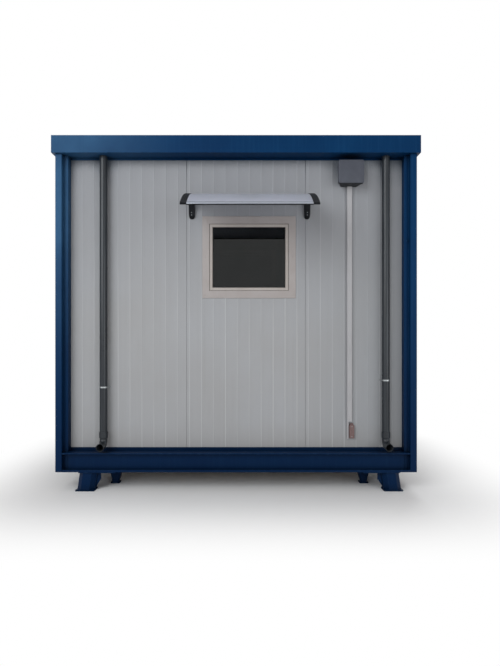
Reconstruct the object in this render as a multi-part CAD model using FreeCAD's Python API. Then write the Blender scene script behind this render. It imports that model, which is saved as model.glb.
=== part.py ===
import FreeCAD, Part
import math
import os

V = FreeCAD.Vector

# Prefabricated site cabin: a welded frame of cold-formed steel on four splayed feet, closed by
# sandwich panels, with a window under a small curved canopy on the front wall.
# The frame is Z up and in millimetres. X runs along the front wall, and Y runs from the front
# to the back. The origin lies on the ground, under the middle of the cabin with its canopy.

# Overall sizes
cabin_width = 3000.0
cabin_depth = 2400.0
foot_height = 158.0
base_height = 155.0
wall_height = 2443.0
roof_edge_height = 141.0
roof_overhang = 24.0

# Sheet steel of the frame
steel = 3.0
bend = 3.0

# Corner posts: an outer strip, a step back, an inner strip, and then a return to the wall
post_strip = 54.0
post_step = 45.0
post_inner_strip = 36.0
wall_setback = 116.0

# Base beams: channels that are open to the outside
beam_flange = 45.0
beam_top_lip = 10.0
beam_bottom_lip = 18.0
joist_width = 50.0
joist_height = 120.0
joist_count = 6
floor_thickness = 20.0

# Wall panels
panel_thickness = 50.0
panel_module = 995.0
panel_seam_chamfer = 3.0
panel_end_gap = 12.0
front_seam_left = -416.0
track_steel = 1.8
sill_upstand = 26.0
head_cover = 15.0
fit_gap = 0.3

# Roof edge: a box gutter behind a high outer face
gutter_width = 196.0
gutter_wall = 88.0
rim_width = 42.0
rim_lip = 14.0
ceiling_thickness = 40.0
ceiling_bearing = 21.0
roof_fall = 24.0
roof_rib_height = 18.0
roof_rib_pitch = 200.0
roof_rib_crest = 28.0
roof_rib_foot = 60.0
roof_sheet_steel = 1.5
roof_eaves = 35.0
rafter_width = 40.0
rafter_count = 5

# Window in the front wall
window_x = 106.0
window_z = 1930.0
window_flange_width = 783.0
window_flange_height = 687.0
window_flange_steel = 6.0
window_sleeve = 10.0
sash_width = 657.0
sash_height = 554.0
sash_bar = 25.0
sash_depth = 38.0
sash_gap = 3.0
sash_setback = 6.0
sash_stop_cover = 15.0
glass_thickness = 20.0
glass_edge_cover = 8.0
bead_depth = 9.0
bead_slope = 6.0

# Canopy over the window
canopy_x = 110.0
canopy_span = 1012.0
canopy_reach = 600.0
canopy_radius = 1000.0
canopy_crest = 2424.0
canopy_sheet = 4.0
arm_width = 48.0
arm_rib = 34.0
arm_tip = 15.0
arm_foot_depth = 30.0
arm_foot_length = 177.0
arm_brace_radius = 150.0
canopy_bar_depth = 26.0
canopy_bar_height = 12.0

# Rainwater pipes
pipe_left_inset = 401.0
pipe_right_inset = 261.0
pipe_radius = 31.5
pipe_bore_radius = 28.5
pipe_wall_gap = 18.5
elbow_bend = 50.0
elbow_segments = 2
elbow_upright = 12.0
elbow_mouth_reach = 162.0
elbow_mouth_z = 366.0
socket_radius = 36.0
socket_length = 48.0
strap_left_z = 846.0
strap_right_z = 903.0
strap_height = 12.0
strap_steel = 2.0
strap_ear = 15.0

# Electrical fittings on the front wall
box_inset = 664.0
box_width = 209.0
box_bottom = 2516.0
box_height = 190.0
box_depth = 120.0
box_round = 14.0
box_chamfer = 5.0
box_lid_depth = 34.0
box_lid_groove = 2.0
trunking_inset = 89.0
trunking_width = 41.0
trunking_depth = 24.0
trunking_cover_end = 554.0
trunking_tray_end = 409.0
trunking_tray_edge = 14.0
trunking_tray_depth = 14.4
trunking_round = 3.0
terminal_inset = 18.0
terminal_width = 40.0
terminal_bottom = 417.0
terminal_height = 112.0
terminal_depth = 28.0
terminal_round = 6.0
gland_width = 26.0
gland_height = 12.0
gland_depth = 16.8

# Feet: a splayed channel leg in front, a tapered leg behind it, plates and a gusset
foot_left_inset = 282.0
foot_right_inset = 232.0
foot_setback = 12.0
leg_face = 70.0
leg_chamfer = 36.0
leg_depth = 95.0
leg_splay = 20.0
foot_steel = 5.0
foot_plate = 8.0
foot_plate_width = 158.0
foot_plate_depth = 112.0
foot_plate_round = 10.0
gusset_reach = 100.0
gusset_steel = 6.0
gusset_bite = 26.0
gusset_end_height = 63.0
gusset_bite_rise = 28.6
gusset_bite_out = 7.8
inner_leg_inset = 168.0
inner_leg_setback = 246.0
inner_leg_top = 118.0
inner_leg_bottom = 54.0
inner_leg_plate = 76.0
inner_chamfer_low = 10.0
inner_chamfer_high = 21.0

# Door in the back wall
door_x = 0.0
door_opening_width = 900.0
door_opening_height = 2050.0
door_casing = 45.0
door_casing_steel = 6.0
door_jamb = 40.0
door_gap = 3.0
door_leaf_thickness = 40.0
door_leaf_setback = 6.0
door_stop = 14.0
door_stop_steel = 8.0
handle_height = 1050.0
handle_length = 125.0
handle_radius = 9.0
handle_overrun = 12.0
spindle_radius = 7.5
handle_stand = 42.0
handle_plate_width = 36.0
handle_plate_height = 220.0
handle_plate_steel = 5.0
handle_plate_round = 14.0
handle_plate_below = 143.0
handle_inset = 70.0
hinge_radius = 9.0
hinge_length = 100.0
hinge_leaf_width = 26.0
hinge_leaf_steel = 4.0
hinge_inset = 200.0

# Heights and places that follow from the sizes above
base_bottom = foot_height
base_top = base_bottom + base_height
roof_bottom = base_top + wall_height
roof_top = roof_bottom + roof_edge_height
post_x = cabin_width / 2 - roof_overhang
post_y = cabin_depth / 2 - roof_overhang
post_face = post_strip + post_inner_strip
wall_x = post_x - wall_setback
wall_y = post_y - wall_setback
wall_back = wall_setback + panel_thickness
side_start = wall_back + steel
panel_bottom = base_top + track_steel
panel_top = roof_bottom - track_steel
panel_end = post_x - post_step - steel - panel_end_gap
pipe_left_x = -cabin_width / 2 + pipe_left_inset
pipe_right_x = cabin_width / 2 - pipe_right_inset
box_left = cabin_width / 2 - box_inset
trunking_left = box_left + trunking_inset
terminal_left = trunking_left + terminal_inset
foot_left_x = -cabin_width / 2 + foot_left_inset
foot_right_x = cabin_width / 2 - foot_right_inset
canopy_front = wall_y + canopy_reach
plan_shift = (canopy_front - cabin_depth / 2) / 2

os.makedirs("parts", exist_ok=True)


def save(name, solids):
    """Write one named piece, moved so that the origin lies under the middle of the whole."""
    group = solids if isinstance(solids, list) else [solids]
    shape = group[0] if len(group) == 1 else Part.makeCompound(group)
    moved = shape.copy()
    moved.translate(V(0, plan_shift, 0))
    moved.exportStep("parts/" + name + ".step")


def block(x0, x1, y0, y1, z0, z1):
    """A rectangular block between two values along each axis, in either order."""
    corner = V(min(x0, x1), min(y0, y1), min(z0, z1))
    return Part.makeBox(abs(x1 - x0), abs(y1 - y0), abs(z1 - z0), corner)


def point(plane, a, b, level=0.0):
    """A point with the coordinates a and b in a plane, at a level across that plane."""
    if plane == "xy":
        return V(a, b, level)
    if plane == "xz":
        return V(a, level, b)
    return V(level, a, b)


def across(plane, length):
    """The vector that runs across a plane for a given length."""
    if plane == "xy":
        return V(0, 0, length)
    if plane == "xz":
        return V(0, length, 0)
    return V(length, 0, 0)


def prism(plane, outline, start, end):
    """A straight prism: an outline of corners in a plane, from one level to another."""
    corners = [point(plane, a, b, start) for a, b in outline]
    face = Part.Face(Part.makePolygon(corners + [corners[0]]))
    return face.extrude(across(plane, end - start))


def bent_sheet(plane, path, thickness, start, end, radius=bend):
    """A cold-formed profile: sheet metal bent along a path in a plane.

    The metal lies to the left of the path, or to its right where the thickness is negative.
    Every bend has the given inner radius, and both its sides share one centre. A radius of
    nothing gives sharp bends.
    """
    near = []
    far = []
    count = len(path)
    for i in range(count):
        here = point("xy", *path[i])
        if i in (0, count - 1):
            other = point("xy", *path[1 if i == 0 else count - 2])
            along = (other - here).normalize() if i == 0 else (here - other).normalize()
            left = V(-along.y, along.x, 0)
            near.append([here])
            far.append([here + left * thickness])
            continue
        before = (here - point("xy", *path[i - 1])).normalize()
        after = (point("xy", *path[i + 1]) - here).normalize()
        turn = before.cross(after).z
        side = math.copysign(1.0, turn)
        outside = side * thickness > 0
        near_radius = radius + abs(thickness) if outside else radius
        far_radius = radius if outside else radius + abs(thickness)
        half = math.atan2(abs(turn), before.dot(after)) / 2
        if radius == 0:
            mitre = (V(-before.y, before.x, 0) + V(-after.y, after.x, 0)).normalize()
            near.append([here])
            far.append([here + mitre * (thickness / math.cos(half))])
            continue
        reach = near_radius * math.tan(half)
        first = here - before * reach
        last = here + after * reach
        centre = first + V(-before.y, before.x, 0) * side * near_radius
        middle = (here - centre).normalize()
        left_before = V(-before.y, before.x, 0) * thickness
        left_after = V(-after.y, after.x, 0) * thickness
        near.append([first, centre + middle * near_radius, last])
        far.append([first + left_before, centre + middle * far_radius, last + left_after])
    backward = [list(reversed(group)) for group in reversed(far)]
    groups = near + backward
    edges = []
    for i, group in enumerate(groups):
        if len(group) == 3:
            bow = [point(plane, p.x, p.y, start) for p in group]
            edges.append(Part.Arc(bow[0], bow[1], bow[2]).toShape())
        a = group[-1]
        b = groups[(i + 1) % len(groups)][0]
        ends = [point(plane, p.x, p.y, start) for p in (a, b)]
        edges.append(Part.LineSegment(ends[0], ends[1]).toShape())
    return Part.Face(Part.Wire(edges)).extrude(across(plane, end - start))


def round_edges(solid, radius, chosen):
    """Round the edges of a solid that a test on each edge picks out."""
    return solid.makeFillet(radius, [edge for edge in solid.Edges if chosen(edge)])


def runs_along(edge, axis):
    """True where an edge is straight and runs along the axis 0, 1 or 2."""
    first = edge.Vertexes[0].Point
    last = edge.Vertexes[-1].Point
    span = last - first
    return abs(abs(span[axis]) - edge.Length) < 0.001 and edge.Length > 0.001


def ring_plate(x0, x1, z0, z1, bar, y0, y1):
    """A rectangular ring in an upright plane, with bars of one width all round."""
    outer = block(x0, x1, y0, y1, z0, z1)
    inner = block(x0 + bar, x1 - bar, y0 - 1, y1 + 1, z0 + bar, z1 - bar)
    return outer.cut(inner)


# Base frame: four edge beams with a ledge under the walls, and floor joists between them
ledge_end = wall_back


def beam_path(front, inward):
    """The channel's outline across a beam, from its top lip to its bottom lip."""
    web = front + inward * (beam_flange + steel)
    return [
        (front, base_top - beam_top_lip),
        (front, base_top),
        (web, base_top),
        (web, base_bottom),
        (front, base_bottom),
        (front, base_bottom + beam_bottom_lip),
    ]


def base_beam(plane, front, inward, half_length, cope):
    """One edge beam: the channel, coped round the posts, and the ledge that carries the wall."""
    section = beam_path(front, inward)
    channel = bent_sheet(plane, section, -inward * steel, -half_length, half_length, 0)
    web_face = front + inward * beam_flange
    web_back = front + inward * (beam_flange + 2 * steel)
    for end in (-1, 1):
        corners = [
            (web_face, base_bottom - 1),
            (web_back, base_bottom - 1),
            (web_back, base_top + 1),
            (web_face, base_top + 1),
        ]
        channel = channel.cut(prism(plane, corners, end * cope, end * (half_length + 1)))
    ledge = [
        (web_face, base_top - steel),
        (front + inward * ledge_end, base_top - steel),
        (front + inward * ledge_end, base_top),
        (web_face, base_top),
    ]
    return channel.fuse(prism(plane, ledge, -cope, cope)).removeSplitter()


front_reach = post_x - post_strip
front_cope = post_x - post_face
side_reach = post_y - post_strip
side_cope = post_y - side_start
save("base_beam_front", base_beam("yz", -post_y, 1, front_reach, front_cope))
save("base_beam_back", base_beam("yz", post_y, -1, front_reach, front_cope))
save("base_beam_left", base_beam("xz", -post_x, 1, side_reach, side_cope))
save("base_beam_right", base_beam("xz", post_x, -1, side_reach, side_cope))

joist_top = base_top - steel
joist_end = post_y - beam_flange - steel
joist_span = 2 * (post_x - wall_back - joist_width)
joists = []
for i in range(joist_count):
    middle = -joist_span / 2 + i * joist_span / (joist_count - 1)
    outer_x = middle - joist_width / 2
    inner_x = middle + joist_width / 2
    channel = [
        (inner_x, joist_top),
        (outer_x, joist_top),
        (outer_x, joist_top - joist_height),
        (inner_x, joist_top - joist_height),
    ]
    joists.append(bent_sheet("xz", channel, steel, -joist_end, joist_end, 0))
save("floor_joists", joists)

floor_x = post_x - side_start
floor_y = post_y - side_start
floor_top = joist_top + floor_thickness
save("floor_deck", block(-floor_x, floor_x, -floor_y, floor_y, joist_top, floor_top))


# Corner posts: one cold-formed section, mirrored to the four corners
def corner_post(side, end):
    """The stepped post at one corner; side is -1 for left, and end is -1 for front."""
    section = [
        (post_face, wall_setback),
        (post_face, post_step),
        (post_strip, post_step),
        (post_strip, 0),
        (0, 0),
        (0, post_strip),
        (post_step, post_strip),
        (post_step, side_start),
        (wall_back, side_start),
    ]
    path = [(side * (post_x - a), end * (post_y - b)) for a, b in section]
    return bent_sheet("xy", path, side * end * -steel, base_bottom, roof_bottom)


save("corner_post_front_left", corner_post(-1, -1))
save("corner_post_front_right", corner_post(1, -1))
save("corner_post_back_left", corner_post(-1, 1))
save("corner_post_back_right", corner_post(1, 1))

# Guides: the channel that the wall panels stand in, and the angle over their top edges
guide_face = wall_setback - fit_gap - track_steel
guide_back = wall_back + fit_gap + track_steel
ceiling_edge = gutter_width - roof_overhang
ceiling_seat = ceiling_edge + ceiling_bearing


def wall_guides(plane, post, inward, half_length, inner_half):
    """The lower and the upper guide of one wall; inward is 1 where the wall faces minus."""

    def at(depth):
        return -inward * post + inward * depth

    lower = [
        (at(guide_face), base_top + sill_upstand),
        (at(guide_face), base_top),
        (at(guide_back), base_top),
        (at(guide_back), base_top + sill_upstand),
    ]
    upper = [
        (at(guide_face), roof_bottom - head_cover),
        (at(guide_face), roof_bottom),
        (at(ceiling_seat), roof_bottom),
        (at(ceiling_seat), roof_bottom - head_cover),
    ]
    sill = bent_sheet(plane, lower, inward * track_steel, -half_length, half_length, 0)
    head = bent_sheet(plane, upper, -inward * track_steel, -half_length, half_length, 0)
    if inner_half < half_length:
        for end in (-1, 1):
            first = end * inner_half
            last = end * (half_length + 1)
            low = [
                (at(wall_back), base_top - 1),
                (at(ceiling_seat + 9), base_top - 1),
                (at(ceiling_seat + 9), roof_bottom + 1),
                (at(wall_back), roof_bottom + 1),
            ]
            notch = prism(plane, low, first, last)
            sill = sill.cut(notch)
            head = head.cut(notch)
    return sill, head


guide_sets = [
    wall_guides("yz", post_y, 1, front_cope, post_x - ceiling_seat - 0.5),
    wall_guides("yz", post_y, -1, front_cope, post_x - ceiling_seat - 0.5),
    wall_guides("xz", post_x, 1, side_cope, side_cope),
    wall_guides("xz", post_x, -1, side_cope, side_cope),
]
door_left = door_x - door_opening_width / 2
door_right = door_x + door_opening_width / 2
door_top = panel_bottom + door_opening_height
sill_guides = [pair[0] for pair in guide_sets]
doorway = block(door_left, door_right, wall_y - panel_thickness - 20, post_y, base_top - 1, base_top + 99)
sill_guides[1] = sill_guides[1].cut(doorway)
save("sill_guides", sill_guides)
save("head_guides", [pair[1] for pair in guide_sets])


# Wall panels: flat sandwich boards that meet at shallow V seams
def wall_panel(plane, face, inward, start, end, bottom=panel_bottom, top=panel_top):
    """One upright panel whose two outer upright edges are chamfered into half a V seam."""
    back = face + inward * panel_thickness
    cut = panel_seam_chamfer
    plan = [
        (start, back),
        (start, face + inward * cut),
        (start + cut, face),
        (end - cut, face),
        (end, face + inward * cut),
        (end, back),
    ]
    if plane == "side":
        plan = [(b, a) for a, b in plan]
    return prism("xy", plan, bottom, top)


front_seam_right = front_seam_left + panel_module
window_hole = block(
    window_x - sash_width / 2 - sash_gap - window_sleeve,
    window_x + sash_width / 2 + sash_gap + window_sleeve,
    -wall_y - 1,
    -wall_y + panel_thickness + 1,
    window_z - sash_height / 2 - sash_gap - window_sleeve,
    window_z + sash_height / 2 + sash_gap + window_sleeve,
)
middle_panel = wall_panel("front", -wall_y, 1, front_seam_left, front_seam_right)
save("front_panel_left", wall_panel("front", -wall_y, 1, -panel_end, front_seam_left))
save("front_panel_middle", middle_panel.cut(window_hole))
save("front_panel_right", wall_panel("front", -wall_y, 1, front_seam_right, panel_end))
save("back_panel_left", wall_panel("front", wall_y, -1, -panel_end, door_left))
save("back_panel_right", wall_panel("front", wall_y, -1, door_right, panel_end))
save("back_panel_over_door", wall_panel("front", wall_y, -1, door_left, door_right, door_top))
side_half = post_y - side_start
for name, face, inward in (("left", -wall_x, 1), ("right", wall_x, -1)):
    save(name + "_panel_front", wall_panel("side", face, inward, -side_half, 0))
    save(name + "_panel_back", wall_panel("side", face, inward, 0, side_half))

# Roof edge: box gutters along the front and the back, closed at their ends, and two shorter ones
# between them that open into them, with outlets over the pipes
sheet_low = roof_bottom + gutter_wall
fall_run = cabin_depth - 2 * gutter_width
pipe_y = -wall_y - pipe_wall_gap - pipe_radius
half_x = cabin_width / 2
half_y = cabin_depth / 2
inside_x = half_x - gutter_width
inside_y = half_y - gutter_width


def gutter_path(face, inward, inner_top):
    """The section of the roof edge: lip, rim, outer face, trough and inner wall."""
    inner = face + inward * gutter_width
    rim = face + inward * rim_width
    return [
        (rim, roof_top - rim_lip),
        (rim, roof_top),
        (face, roof_top),
        (face, roof_bottom),
        (inner, roof_bottom),
        (inner, inner_top),
    ]


def roof_slope(y):
    """The height of the roof sheet's underside at a place from front to back."""
    return sheet_low + roof_fall * (y + fall_run / 2) / fall_run


def long_edge(end, inner_top):
    """The roof edge along the front or the back, with the side gutters opening into its ends."""
    section = gutter_path(end * half_y, -end, inner_top)
    edge = bent_sheet("yz", section, -end * steel, -half_x, half_x, 0)
    trough = end * (inside_y + steel)
    rim_end = end * (half_y - rim_width)
    for side in (-1, 1):
        face = side * half_x
        cap = side * (half_x - steel)
        corner = side * (inside_x + steel)
        way = block(corner, cap, end * inside_y, trough, roof_bottom + steel, roof_top)
        edge = edge.cut(way)
        edge = edge.fuse(block(cap, face, end * half_y, rim_end, roof_bottom, roof_top))
        side_rim = gutter_path(face, -side, inner_top)[:4]
        edge = edge.fuse(bent_sheet("xz", side_rim, -side * steel, rim_end, end * inside_y, 0))
    return edge.removeSplitter()


edge_front = long_edge(-1, roof_slope(-fall_run / 2 - steel))
edge_back = long_edge(1, roof_slope(fall_run / 2))
above_sheet = [
    (-half_y, roof_slope(-half_y)),
    (half_y, roof_slope(half_y)),
    (half_y, roof_top + 9),
    (-half_y, roof_top + 9),
]
edge_sides = []
for side in (-1, 1):
    section = gutter_path(side * half_x, -side, roof_slope(fall_run / 2))
    bar = bent_sheet("xz", section, -side * steel, -inside_y, inside_y, 0)
    first = side * (inside_x - 1)
    last = side * (inside_x + 2 * steel)
    edge_sides.append(bar.cut(prism("yz", above_sheet, min(first, last), max(first, last))))
for x in (pipe_left_x, pipe_right_x):
    outlet = Part.makeCylinder(pipe_bore_radius, 2 * steel + 2, V(x, pipe_y, roof_bottom - 1))
    edge_front = edge_front.cut(outlet)
save("roof_edge_front", edge_front)
save("roof_edge_back", edge_back)
save("roof_edge_left", edge_sides[0])
save("roof_edge_right", edge_sides[1])

# Roof: a ceiling panel on the guides, sloping rafters, and a trapezoidal sheet
ceiling_top = roof_bottom + ceiling_thickness
save("ceiling_panel", block(-inside_x, inside_x, -inside_y, inside_y, roof_bottom, ceiling_top))

rafter_side = [
    (-inside_y, ceiling_top),
    (inside_y, ceiling_top),
    (inside_y, roof_slope(inside_y)),
    (-inside_y, roof_slope(-inside_y)),
]
rafters = []
rafter_span = 2 * (inside_x - rafter_width)
for i in range(rafter_count):
    middle = -rafter_span / 2 + i * rafter_span / (rafter_count - 1)
    rafters.append(prism("yz", rafter_side, middle - rafter_width / 2, middle + rafter_width / 2))
save("roof_rafters", rafters)


def trapezoid_path(half):
    """The line of the ribbed roof sheet across the roof, centred on a valley."""
    ribs = int((2 * half - roof_rib_foot) // roof_rib_pitch)
    line = [(-half, 0)]
    for i in range(ribs):
        middle = (i - (ribs - 1) / 2) * roof_rib_pitch
        line.append((middle - roof_rib_foot / 2, 0))
        line.append((middle - roof_rib_crest / 2, roof_rib_height))
        line.append((middle + roof_rib_crest / 2, roof_rib_height))
        line.append((middle + roof_rib_foot / 2, 0))
    line.append((half, 0))
    return line


sheet_front = -inside_y - roof_eaves
sheet_back = inside_y
sheet_half = inside_x + steel
sheet_line = trapezoid_path(sheet_half)
sheet_top = [(a, b + roof_sheet_steel) for a, b in sheet_line]
outline = sheet_line + list(reversed(sheet_top))
slope_vector = V(0, sheet_back - sheet_front, roof_slope(sheet_back) - roof_slope(sheet_front))
corners = [V(a, sheet_front, roof_slope(sheet_front) + b) for a, b in outline]
roof_sheet = Part.Face(Part.makePolygon(corners + [corners[0]])).extrude(slope_vector)
save("roof_sheet", roof_sheet)

# Window: a flanged sleeve through the wall, a sash with a sloping bead, and the glass
half_w = sash_width / 2
half_h = sash_height / 2
clear_w = half_w + sash_gap
clear_h = half_h + sash_gap
sleeve = block(
    window_x - clear_w - window_sleeve,
    window_x + clear_w + window_sleeve,
    -wall_y - window_flange_steel,
    -wall_y + panel_thickness,
    window_z - clear_h - window_sleeve,
    window_z + clear_h + window_sleeve,
)
flange = block(
    window_x - window_flange_width / 2,
    window_x + window_flange_width / 2,
    -wall_y - window_flange_steel,
    -wall_y,
    window_z - window_flange_height / 2,
    window_z + window_flange_height / 2,
)
front_plane = -wall_y - window_flange_steel


def on_front_rim(edge):
    """True for the flange's four front edges."""
    return all(abs(v.Point.y - front_plane) < 0.01 for v in edge.Vertexes)


flange = round_edges(flange, window_flange_steel / 2, on_front_rim)
tunnel = block(
    window_x - clear_w,
    window_x + clear_w,
    -wall_y - window_flange_steel - 1,
    -wall_y + panel_thickness + 1,
    window_z - clear_h,
    window_z + clear_h,
)
sash_front = front_plane + sash_setback
sash_back = sash_front + sash_depth
stop = ring_plate(
    window_x - clear_w,
    window_x + clear_w,
    window_z - clear_h,
    window_z + clear_h,
    sash_gap + sash_stop_cover,
    sash_back,
    sash_back + window_flange_steel,
)
save("window_frame", sleeve.fuse(flange).cut(tunnel).fuse(stop).removeSplitter())

glass_half_w = half_w - sash_bar + glass_edge_cover
glass_half_h = half_h - sash_bar + glass_edge_cover


def rectangle(half_a, half_b, y):
    """An upright rectangular wire round the window's centre."""
    corners = [
        V(window_x - half_a, y, window_z - half_b),
        V(window_x + half_a, y, window_z - half_b),
        V(window_x + half_a, y, window_z + half_b),
        V(window_x - half_a, y, window_z + half_b),
    ]
    return Part.makePolygon(corners + [corners[0]])


sash = block(
    window_x - half_w, window_x + half_w, sash_front, sash_back, window_z - half_h, window_z + half_h
)
glass_front = sash_front + bead_depth
bead = Part.makeLoft(
    [
        rectangle(half_w - sash_bar + bead_slope, half_h - sash_bar + bead_slope, sash_front),
        rectangle(half_w - sash_bar, half_h - sash_bar, glass_front),
    ],
    True,
    True,
)
rebate = block(
    window_x - glass_half_w,
    window_x + glass_half_w,
    glass_front,
    sash_back + 1,
    window_z - glass_half_h,
    window_z + glass_half_h,
)
save("window_sash", sash.cut(bead).cut(rebate))
pane = block(
    window_x - glass_half_w + fit_gap,
    window_x + glass_half_w - fit_gap,
    glass_front,
    glass_front + glass_thickness,
    window_z - glass_half_h + fit_gap,
    window_z + glass_half_h - fit_gap,
)
save("window_glass", pane)

# Canopy: two curved arms on wall feet, a bowed sheet between them, and a bar along each edge
arc_centre_z = canopy_crest - canopy_radius


def arc_point(radius, reach):
    """A point on the canopy's curve, at a distance out from the wall."""
    return V(0, -wall_y - reach, arc_centre_z + math.sqrt(radius ** 2 - reach ** 2))


def bow(radius, first, last):
    """An arc of the canopy's curve between two distances from the wall."""
    middle = (first + last) / 2
    return Part.Arc(arc_point(radius, first), arc_point(radius, middle), arc_point(radius, last))


def canopy_arm(middle):
    """One arm: the rib that thins to its tip, the wall foot with its round end, and the brace."""
    top_wall = arc_point(canopy_radius, 0)
    top_tip = arc_point(canopy_radius, canopy_reach)
    tip_reach = canopy_reach - arm_tip / 2
    low_tip = arc_point(canopy_radius - arm_tip, tip_reach)
    brace_reach = arm_foot_depth + arm_brace_radius
    brace_top = arc_point(canopy_radius - arm_rib, brace_reach)
    middle_depth = (arm_tip + arm_rib) / 2
    low_middle = arc_point(canopy_radius - middle_depth, (tip_reach + brace_reach) / 2)
    foot_end = canopy_crest - arm_foot_length
    foot_round = V(0, -wall_y - arm_foot_depth, foot_end + arm_foot_depth)
    foot_wall = V(0, -wall_y, foot_end)
    brace_low = V(0, -wall_y - arm_foot_depth, brace_top.z - arm_brace_radius)
    quarter = math.sqrt(0.5)
    brace_middle = V(
        0,
        -wall_y - arm_foot_depth - arm_brace_radius * (1 - quarter),
        brace_top.z - arm_brace_radius * (1 - quarter),
    )
    toe = V(
        0,
        -wall_y - arm_foot_depth * quarter,
        foot_end + arm_foot_depth * (1 - quarter),
    )
    edges = [
        bow(canopy_radius, 0, canopy_reach).toShape(),
        Part.LineSegment(top_tip, low_tip).toShape(),
        Part.Arc(low_tip, low_middle, brace_top).toShape(),
        Part.Arc(brace_top, brace_middle, brace_low).toShape(),
        Part.LineSegment(brace_low, foot_round).toShape(),
        Part.Arc(foot_round, toe, foot_wall).toShape(),
        Part.LineSegment(foot_wall, top_wall).toShape(),
    ]
    side = Part.Face(Part.Wire(edges))
    side.translate(V(middle - arm_width / 2, 0, 0))
    return side.extrude(V(arm_width, 0, 0))


arm_offset = (canopy_span - arm_width) / 2
save("canopy_arm_left", canopy_arm(canopy_x - arm_offset))
save("canopy_arm_right", canopy_arm(canopy_x + arm_offset))

sheet_left = canopy_x - arm_offset + arm_width / 2
sheet_span = 2 * arm_offset - arm_width
sheet_outer = canopy_radius - canopy_sheet
sheet_under = sheet_outer - canopy_sheet
bar_back = canopy_reach - canopy_bar_depth


def between_arms(edges):
    """A piece with one side outline that fills the space between the two arms."""
    side = Part.Face(Part.Wire(edges))
    side.translate(V(sheet_left, 0, 0))
    return side.extrude(V(sheet_span, 0, 0))


wall_reach = canopy_bar_depth
canopy_sheet_edges = [
    bow(sheet_outer, wall_reach, bar_back).toShape(),
    Part.LineSegment(arc_point(sheet_outer, bar_back), arc_point(sheet_under, bar_back)).toShape(),
    bow(sheet_under, bar_back, wall_reach).toShape(),
    Part.LineSegment(arc_point(sheet_under, wall_reach), arc_point(sheet_outer, wall_reach)).toShape(),
]
save("canopy_sheet", between_arms(canopy_sheet_edges))


def edge_bar(first, last):
    """A bar along an edge of the sheet, curved on top as the arms are."""
    low = canopy_radius - canopy_bar_height
    edges = [
        bow(canopy_radius, first, last).toShape(),
        Part.LineSegment(arc_point(canopy_radius, last), arc_point(low, last)).toShape(),
        bow(low, last, first).toShape(),
        Part.LineSegment(arc_point(low, first), arc_point(canopy_radius, first)).toShape(),
    ]
    return between_arms(edges)


save("canopy_edge_bars", [edge_bar(0, wall_reach), edge_bar(bar_back, canopy_reach)])


# Rainwater pipes: a straight pipe from the gutter outlet, and an elbow that faces forward
def tube_solid(x, radius, low_z, high_z):
    """A solid upright cylinder on a pipe's axis."""
    return Part.makeCylinder(radius, high_z - low_z, V(x, pipe_y, low_z))


def elbow_segment(x, radius, lean, first, last):
    """A straight segment of the bend that touches its arc at a lean, mitred at two others."""
    centre_y = pipe_y - elbow_bend
    centre_z = elbow_mouth_z + elbow_bend
    far = 3 * elbow_bend
    touch = V(x, centre_y + elbow_bend * math.cos(lean), centre_z - elbow_bend * math.sin(lean))
    along = V(0, -math.sin(lean), -math.cos(lean))
    rod = Part.makeCylinder(radius, 2 * elbow_bend, touch - along * elbow_bend, along)
    wedge = [
        (centre_y, centre_z),
        (centre_y + far * math.cos(first), centre_z - far * math.sin(first)),
        (centre_y + far * math.cos(last), centre_z - far * math.sin(last)),
    ]
    return rod.common(prism("yz", wedge, x - elbow_bend, x + elbow_bend))


def elbow_solid(x, radius, top, overrun):
    """The solid of the bend: a short upright, a mitred quarter turn and a level run."""
    turn_z = elbow_mouth_z + elbow_bend
    upright = Part.makeCylinder(radius, top - turn_z, V(x, pipe_y, turn_z))
    step = math.pi / 2 / (elbow_segments + 1)
    body = upright
    for i in range(elbow_segments + 2):
        first = max(0.0, (i - 0.5) * step)
        last = min(math.pi / 2, (i + 0.5) * step)
        body = body.fuse(elbow_segment(x, radius, i * step, first, last))
    mouth_y = -wall_y - elbow_mouth_reach - overrun
    level_start = pipe_y - elbow_bend
    level = Part.makeCylinder(
        radius, level_start - mouth_y, V(x, level_start, elbow_mouth_z), V(0, -1, 0)
    )
    return body.fuse(level).removeSplitter()


socket_step = elbow_mouth_z + elbow_bend + elbow_upright
socket_top = socket_step + socket_length


def pipe_elbow(x):
    """The elbow with its socket, open at both ends."""
    outer = elbow_solid(x, pipe_radius, socket_step, 0.0)
    collar_low = socket_step - (socket_radius - pipe_radius)
    collar = Part.makeCone(
        pipe_radius, socket_radius, socket_step - collar_low, V(x, pipe_y, collar_low)
    )
    collar = collar.fuse(tube_solid(x, socket_radius, socket_step, socket_top))
    body = outer.fuse(collar)
    body = body.cut(elbow_solid(x, pipe_bore_radius, socket_step + 1, 1.0))
    return body.cut(tube_solid(x, pipe_radius + fit_gap, socket_step, socket_top + 1))


def downpipe(x):
    """The straight pipe, from the step in the elbow's socket up to the gutter."""
    bore = tube_solid(x, pipe_bore_radius, socket_step - 1, roof_bottom + 1)
    return tube_solid(x, pipe_radius, socket_step, roof_bottom).cut(bore)


def pipe_strap(x, middle_z):
    """A saddle strap: half a band over the pipe, two legs back to the wall, and two ears."""
    low = middle_z - strap_height / 2
    high = middle_z + strap_height / 2
    inner = pipe_radius + fit_gap
    outer = inner + strap_steel
    ear_end = outer + strap_ear
    band = tube_solid(x, outer, low, high)
    legs = block(x - outer, x + outer, pipe_y, -wall_y, low, high)
    ears = block(x - ear_end, x + ear_end, -wall_y - strap_steel, -wall_y, low, high)
    hole = tube_solid(x, inner, low - 1, high + 1)
    between = block(x - inner, x + inner, pipe_y, -wall_y + 1, low - 1, high + 1)
    return band.fuse(legs).fuse(ears).cut(hole).cut(between).removeSplitter()


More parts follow.
